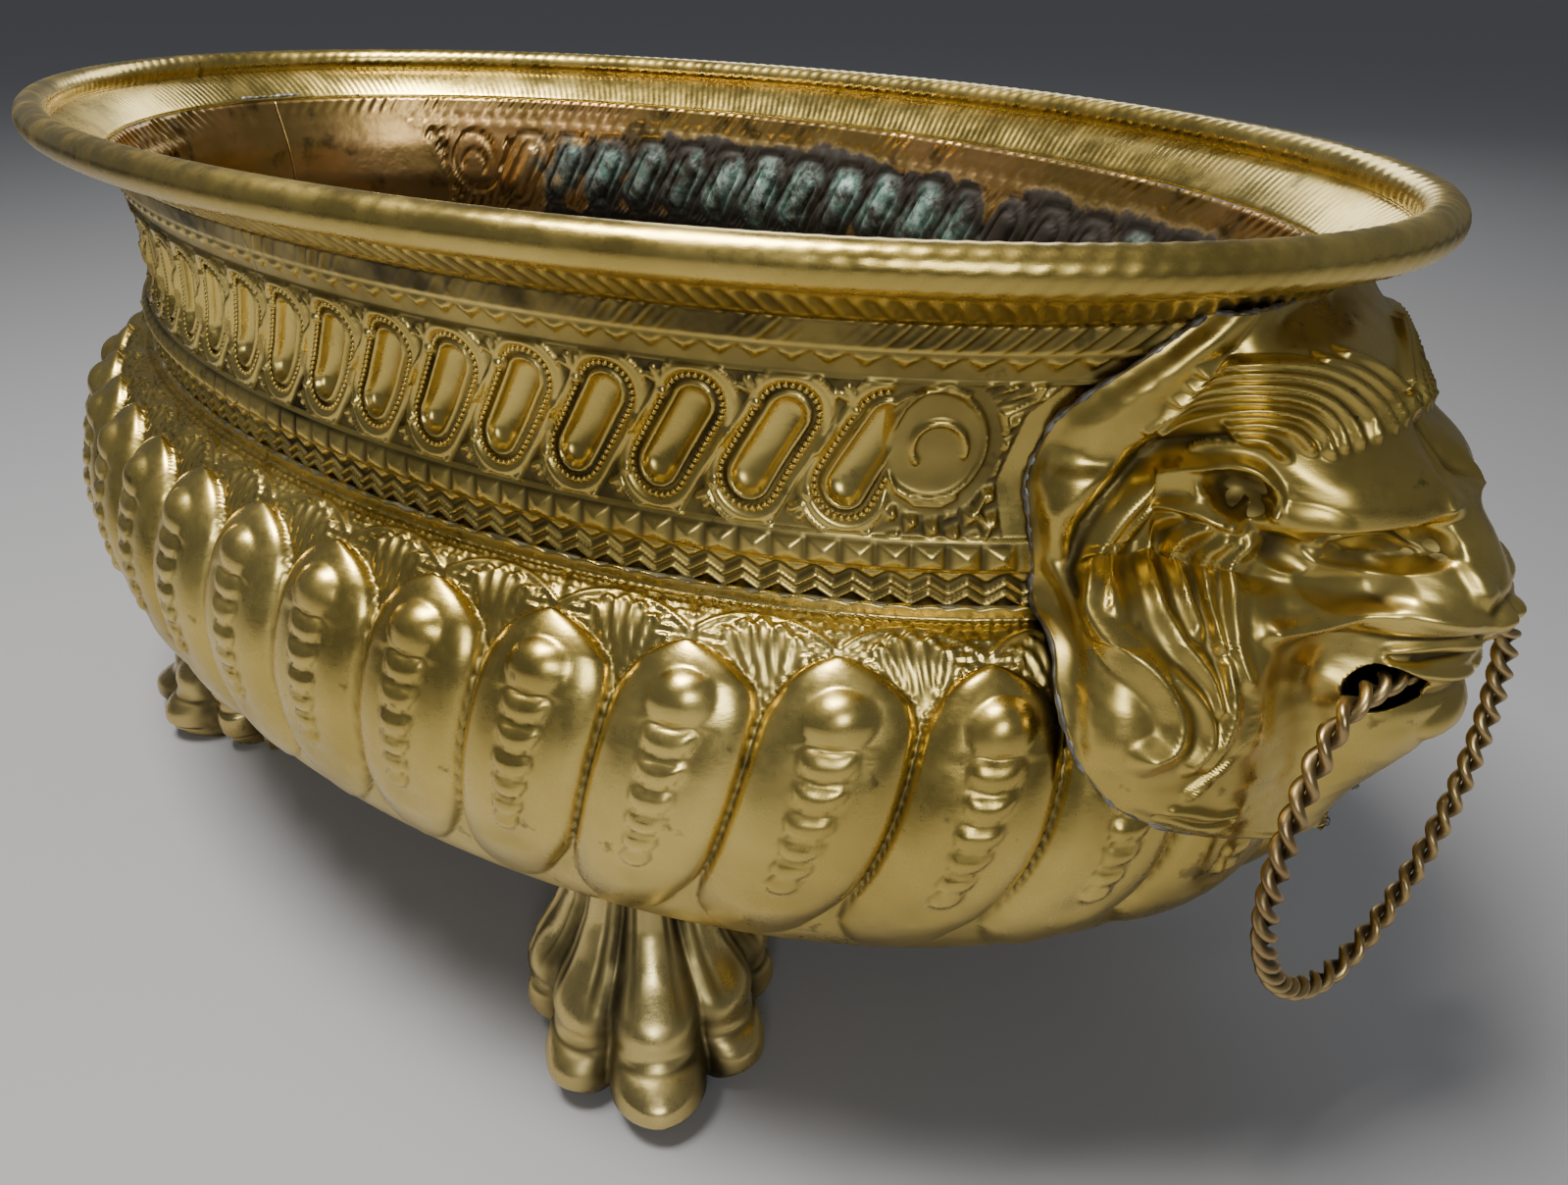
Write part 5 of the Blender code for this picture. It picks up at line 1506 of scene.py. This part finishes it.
def paw(name, sign_x, sign_y, node):
    """One cast paw: five toes in front, flutes behind, and a leg that ends in the bowl."""
    rows, columns = PAW_ROWS, PAW_COLUMNS
    spin = (TAU * np.arange(columns) / columns - math.pi)[None, :]
    level = (np.linspace(0.0, 1.0, rows) ** 1.25)[:, None]
    heading = np.array([sign_x * math.cos(FOOT_TURN), sign_y * math.sin(FOOT_TURN)])
    aside = np.array([-heading[1], heading[0]])
    ankle = np.array([sign_x * FOOT_X, sign_y * FOOT_Y]) - ANKLE_BACK * heading
    way_x, way_y = (np.cos(spin) * heading[k] + np.sin(spin) * aside[k] for k in (0, 1))
    top = bowl_underside(ankle[0] + ANKLE_RADIUS * way_x, ankle[1] + ANKLE_RADIUS * way_y)
    z = level * (top + PAW_SINK)
    front, wide, heel = (eased(t, z) for t in (PAW_FRONT, PAW_WIDE, PAW_HEEL))
    ahead = np.where(np.cos(spin) > 0.0, front, heel)
    reach = 1.0 / np.sqrt((np.cos(spin) / ahead) ** 2 + (np.sin(spin) / wide) ** 2)
    toe = spin / TOE_TURN
    number = np.clip(np.round(toe), -2.0, 2.0)
    within = np.clip(2.0 * (toe - number), -1.0, 1.0)
    is_toe = smooth_step(2.62, 2.35, np.abs(toe))
    back_flute = 0.5 + 0.5 * np.cos(spin * 7.0)
    round_toe = np.sqrt(np.clip(1.0 - (0.985 * within) ** 2, 0.0, 1.0))
    crease = 0.0135 * smooth_step(0.040, 0.012, z) + 0.0036 + 0.002 * smooth_step(0.03, 0.05, z)
    reach = reach - is_toe * crease * (1.0 - round_toe) ** 0.85 - (1.0 - is_toe) * 0.0018 * (1.0 - back_flute)
    longer = np.choose((number + 2).astype(int), TOE_LONGER)
    reach = reach + is_toe * longer * smooth_step(0.03, 0.01, z)
    knuckles = 0.0022 * hump(z - 0.0135, 0.013) - 0.0016 * hump(z - 0.0245, 0.008)
    reach = reach + is_toe * round_toe * (knuckles + 0.0026 * hump(z - 0.0340, 0.014))
    claw = hump(z - 0.0085, 0.0013) * smooth_step(0.75, 0.55, np.abs(within)) * is_toe
    groove = hump(z - 0.0220, 0.0022) * is_toe * round_toe
    side_line = hump(np.abs(within) - 0.50, 0.16) * is_toe * smooth_step(0.030, 0.040, z)
    reach = reach - 0.0010 * claw - 0.0006 * groove - 0.0007 * side_line
    lines = 0.8 * claw + 0.5 * groove + 0.45 * side_line
    # grime and painted shade in the creases between the toes and in the claw and side lines
    hollow = np.clip(is_toe * (1.0 - round_toe) * 1.7 + lines, 0.0, 1.0)
    skin = np.stack([ankle[0] + reach * way_x, ankle[1] + reach * way_y, z + 0.0 * reach], axis=-1)
    ends = (np.arange(columns), (rows - 1) * columns + np.arange(columns)[::-1])
    made = mesh_piece(name, skin, quads(rows, columns, wrap_columns=True), ends, {"hollow": hollow})
    finish_piece(made, cast_brass, stands_for=(node,))


for front_back, sign_y in (("front", -1.0), ("back", 1.0)):
    for left_right, sign_x in (("right", 1.0), ("left", -1.0)):
        paw(f"{front_back}_{left_right}_paw", sign_x, sign_y, f"{front_back}_{left_right}_paw_foot")

# %% [markdown]
# ## Floor, light and camera
#
# A plain pale floor and three large soft lamps, as in a small studio: large lamps matter here,
# because polished metal shows little else than what it mirrors.

# %% Floor and lights
FLOOR_REACH = 90
floor_mesh = bpy.data.meshes.new("floor")
corners = [(x * FLOOR_REACH, y * FLOOR_REACH, 0) for x, y in ((-1, -1), (1, -1), (1, 1), (-1, 1))]
floor_mesh.from_pydata(corners, [], [(0, 1, 2, 3)])
floor = bpy.data.objects.new("floor", floor_mesh)
bpy.context.scene.collection.objects.link(floor)
floor_finish = bpy.data.materials.new("pale floor")
floor_finish.use_nodes = True
floor_shader = floor_finish.node_tree.nodes["Principled BSDF"]
floor_shader.inputs["Base Color"].default_value = (0.31, 0.31, 0.32, 1.0)
floor_shader.inputs["Roughness"].default_value = 0.55
floor_mesh.materials.append(floor_finish)

world = bpy.data.worlds.new("studio")
bpy.context.scene.world = world
world.use_nodes = True
world.node_tree.nodes["Background"].inputs["Color"].default_value = (0.78, 0.82, 0.88, 1.0)
world.node_tree.nodes["Background"].inputs["Strength"].default_value = 0.16


def lamp(name, place, towards, size, power, colour):
    """A square area lamp aimed at a point."""
    data = bpy.data.lights.new(name, "AREA")
    data.size, data.energy, data.color = size, power, colour
    made = bpy.data.objects.new(name, data)
    made.location = place
    made.rotation_euler = (Vector(towards) - Vector(place)).to_track_quat("-Z", "Y").to_euler()
    bpy.context.scene.collection.objects.link(made)


lamp("overhead", (-0.1, -0.35, 1.4), (0.05, -0.05, 0.15), 0.5, 36.0, (1.0, 0.97, 0.92))
lamp("window", (1.6, -1.5, 1.3), (0.1, 0.0, 0.15), 0.8, 16.0, (0.95, 0.97, 1.0))
lamp("far side", (-1.2, 1.6, 1.2), (0.0, 0.0, 0.2), 1.0, 10.0, (0.95, 0.97, 1.0))

# %% Camera
camera_data = bpy.data.cameras.new("camera")
camera_data.sensor_width, camera_data.lens = 36.0, 26.75
camera = bpy.data.objects.new("camera", camera_data)
azimuth, elevation, roll = (math.radians(v) for v in (41.8732, 28.7314, 1.1139))
back = Vector((math.sin(azimuth) * math.cos(elevation), -math.cos(azimuth) * math.cos(elevation),
               math.sin(elevation)))
right = Vector((math.cos(azimuth), math.sin(azimuth), 0.0))
up = back.cross(right)
axes = Matrix((math.cos(roll) * right + math.sin(roll) * up,
               math.cos(roll) * up - math.sin(roll) * right, back)).transposed().to_4x4()
camera.matrix_world = Matrix.Translation((0.3782, -0.3143, 0.3407)) @ axes
bpy.context.scene.collection.objects.link(camera)
bpy.context.scene.camera = camera

# %% [markdown]
# ## The measured pieces that stay
#
# The studs, washers, nuts and the rim's wire are already right in the measured model, so they
# only get a finish.

# %% Finishes for the measured pieces
carried = {"rim_wire": iron_wire}
for name, node in bpy.data.objects.items():
    if name in frame["nodes"] and not node.hide_render:
        node.data.materials.clear()
        node.data.materials.append(brass_fixings if "foot_" in name else carried.get(name, polished_brass))
